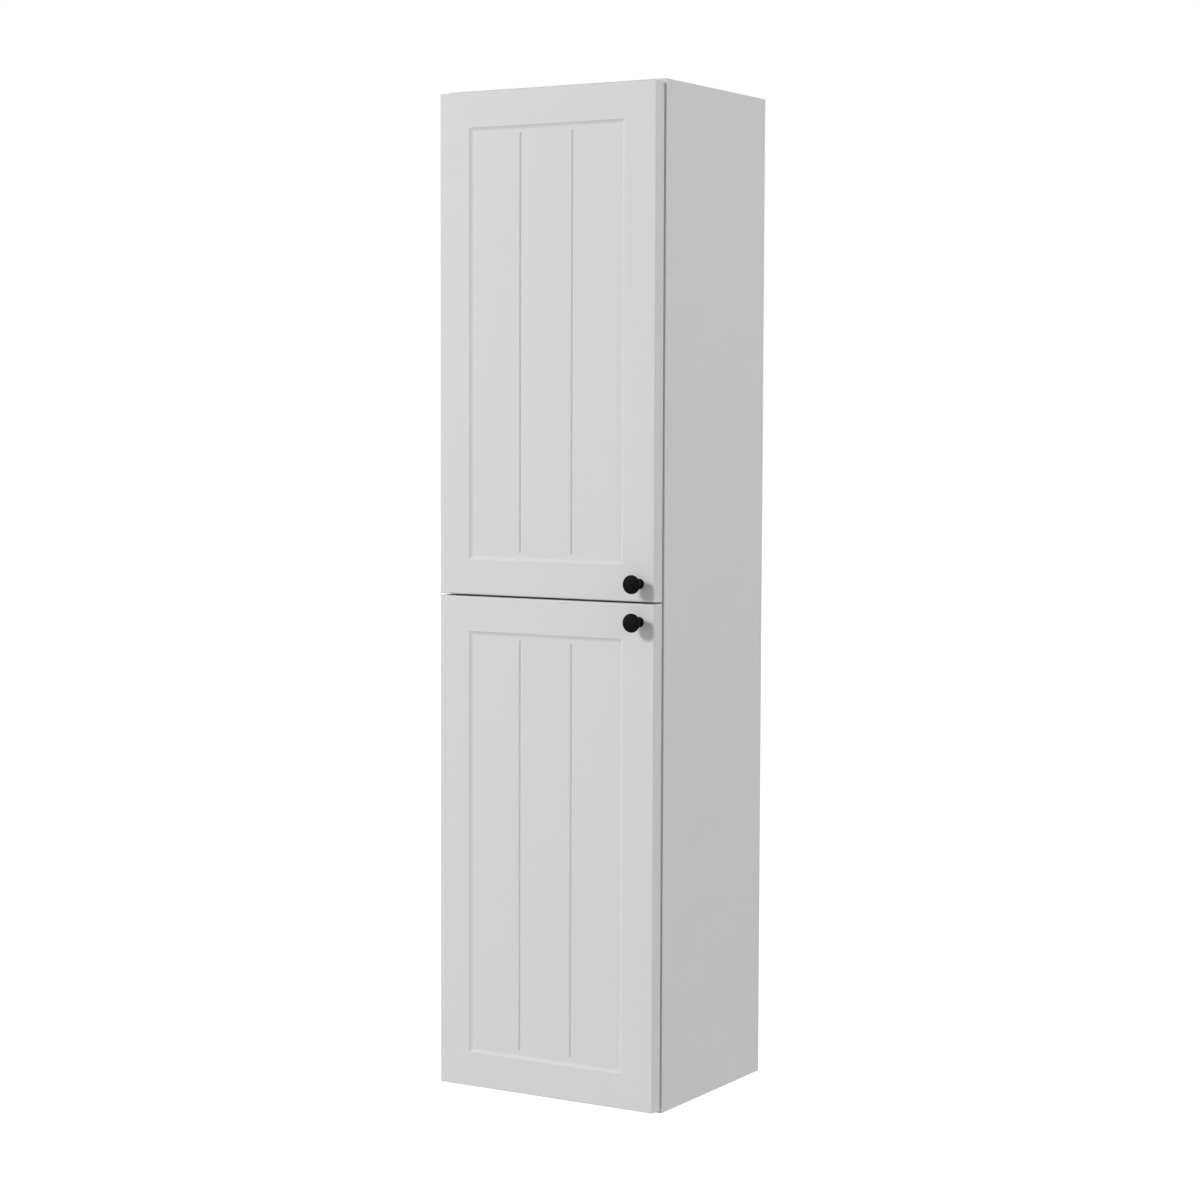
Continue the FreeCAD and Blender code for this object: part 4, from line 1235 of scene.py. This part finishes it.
for door in door_names:
    low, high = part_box("hinge_pins_" + door)
    axis_x, axis_y = (low.x + high.x) / 2, (low.y + high.y) / 2
    spots = [(Vector((axis_x, axis_y, cup_centre(door, hinge_end).z - half_pin)), upwards)
             for hinge_end in hinge_ends]
    fit(pegs("hinge pins", spots, hinge_pin_radius, 2 * half_pin, nickel_plate, edge_round=0.2 * mm,
             sides=24), "hinge_pins_" + door)

    low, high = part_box("bumpers_" + door)
    radius = (high.x - low.x) / 2
    spots = [(Vector((low.x + radius, low.y, z)), towards_wall)
             for z in end_centres("bumpers_" + door, Z, radius)]
    fit(pegs("bumpers", spots, radius, high.y - low.y, clear_bumper, edge_round=0.9 * mm, sides=32),
        "bumpers_" + door)

fit(pegs("cover caps", cap_spots, cap_radius, cap_thickness, white_plastic, edge_round=0.3 * mm,
         sides=48), "cam_cover_caps")

# %% Hidden joinery keeps its construction meshes
for node, finish in (("cam_bolts", zinc_plate), ("cam_locks", die_casting), ("wooden_dowels", beech)):
    nodes[node].data.materials.clear()
    nodes[node].data.materials.append(finish)

# %% [markdown]
# ## Floor, light and camera
# The photograph shows the cabinet on plain white with nothing under it. The cabinet hangs on a
# wall, so the floor lies well below it. Camera and mirror rays see the world and the lit floor as
# white, and the floor still takes the cabinet's soft shadow.

# %% Floor
floor_level = -0.42
floor_reach = 30.0
floor_glow = 0.84


def camera_like(tree):
    """1 for rays of the camera, of mirrors and through clear pieces, otherwise 0."""
    path = place(tree, "ShaderNodeLightPath")
    seen = out(path, "Is Camera Ray").most(out(path, "Is Glossy Ray"))
    return seen.most(out(path, "Is Transmission Ray"))


def floor_finish():
    material, tree, shader, here = new_finish("pale_floor")
    flag = camera_like(tree)
    speckle = noise(tree, here, 40.0, 3.0)
    pale = blended(tree, flag, blended(tree, speckle, grey(0.78), grey(0.80)), grey(0.42))
    plug(tree, pale, shader.inputs["Base Color"])
    shader.inputs["Roughness"].default_value = 1.0
    shader.inputs["Specular IOR Level"].default_value = 0.0
    shader.inputs["Emission Color"].default_value = (1, 1, 1, 1)
    plug(tree, flag * floor_glow, shader.inputs["Emission Strength"])
    return material


floor_mesh = bpy.data.meshes.new("floor")
floor_corners = [(-floor_reach, -floor_reach), (floor_reach, -floor_reach), (floor_reach, floor_reach),
                 (-floor_reach, floor_reach)]
floor_mesh.from_pydata([(x, y, floor_level) for x, y in floor_corners], [], [(0, 1, 2, 3)])
floor_mesh.materials.append(floor_finish())
floor = linked("floor", floor_mesh)

# %% [markdown]
# The knobs' shadows tell where the main light stands: they fall to the right and downwards, with
# an edge a few millimetres soft. So the main light is a sun about thirty degrees to the left and
# twenty-five above, twelve degrees wide. An even white world fills the shadows, and wide soft
# lights lift the side panel from the right and all edges from above. One more behind keeps the
# back readable. The photographed doors grow slightly darker from left to right, and a sun can't
# do that, so a tall soft box stands at the left, where its light falls off with distance.

# %% Light
def lamp_object(name, light, towards_light):
    lamp = linked(name, light)
    lamp.rotation_mode = "QUATERNION"
    lamp.rotation_quaternion = Vector(towards_light).to_track_quat("Z", "Y")
    return lamp


def sun(name, towards_light, strength, width):
    light = bpy.data.lights.new(name, "SUN")
    light.energy = strength
    light.angle = math.radians(width)
    lamp_object(name, light, towards_light)


def strip_light(name, place_at, looks_at, width, height, power):
    """An upright soft box. It falls off with distance, unlike a sun."""
    light = bpy.data.lights.new(name, "AREA")
    light.shape = "RECTANGLE"
    light.size = width
    light.size_y = height
    light.energy = power
    lamp_object(name, light, Vector(place_at) - Vector(looks_at)).location = place_at


sun("main_light", (-0.57, -1.0, 0.54), strength=1.70, width=12)
sun("side_fill", (1.0, -0.12, 0.25), strength=1.36, width=60)
sun("top_fill", (0.0, -0.45, 1.0), strength=0.10, width=60)
sun("rear_fill", (0.0, 1.0, 0.25), strength=0.9, width=60)
strip_light("left_strip", (-1.5, -1.3, 1.55), (0.0, -0.35, 1.2), width=0.4, height=1.8, power=6.2)

world_fill = 0.16
world = bpy.data.worlds.new("even_white")
bpy.context.scene.world = world
world.use_nodes = True
backdrop = world.node_tree.nodes["Background"]
backdrop.inputs["Color"].default_value = (1, 1, 1, 1)
strength = camera_like(world.node_tree) * (1.0 - world_fill) + world_fill
plug(world.node_tree, strength, backdrop.inputs["Strength"])

# %% [markdown]
# The camera was fitted to the photograph's corners, seam and grooves: 31 degrees to the right,
# looking down by four, with a long lens. Its verticals converge slightly, because a shifted lens
# would crop the cabinet in the other views.

# %% Camera
camera_yaw = math.radians(30.84)
camera_pitch = math.radians(4.00)
camera_roll = math.radians(0.19)
camera_place = Vector((2264.4, -3976.0, 1096.9)) * mm
camera_lens = 81.80

ahead = Vector((-math.sin(camera_yaw) * math.cos(camera_pitch),
                math.cos(camera_yaw) * math.cos(camera_pitch), -math.sin(camera_pitch)))
level_right = Vector((math.cos(camera_yaw), math.sin(camera_yaw), 0))
level_up = level_right.cross(ahead)
right = math.cos(camera_roll) * level_right + math.sin(camera_roll) * level_up
up = math.cos(camera_roll) * level_up - math.sin(camera_roll) * level_right

camera_data = bpy.data.cameras.new("camera")
camera_data.lens = camera_lens
camera_data.sensor_width = 36
camera_data.clip_end = 100
camera = linked("camera", camera_data)
turned_camera = Matrix((right, up, -ahead)).transposed().to_4x4()
camera.matrix_world = Matrix.Translation(camera_place) @ turned_camera
bpy.context.scene.camera = camera
bpy.context.scene.view_settings.view_transform = "Standard"
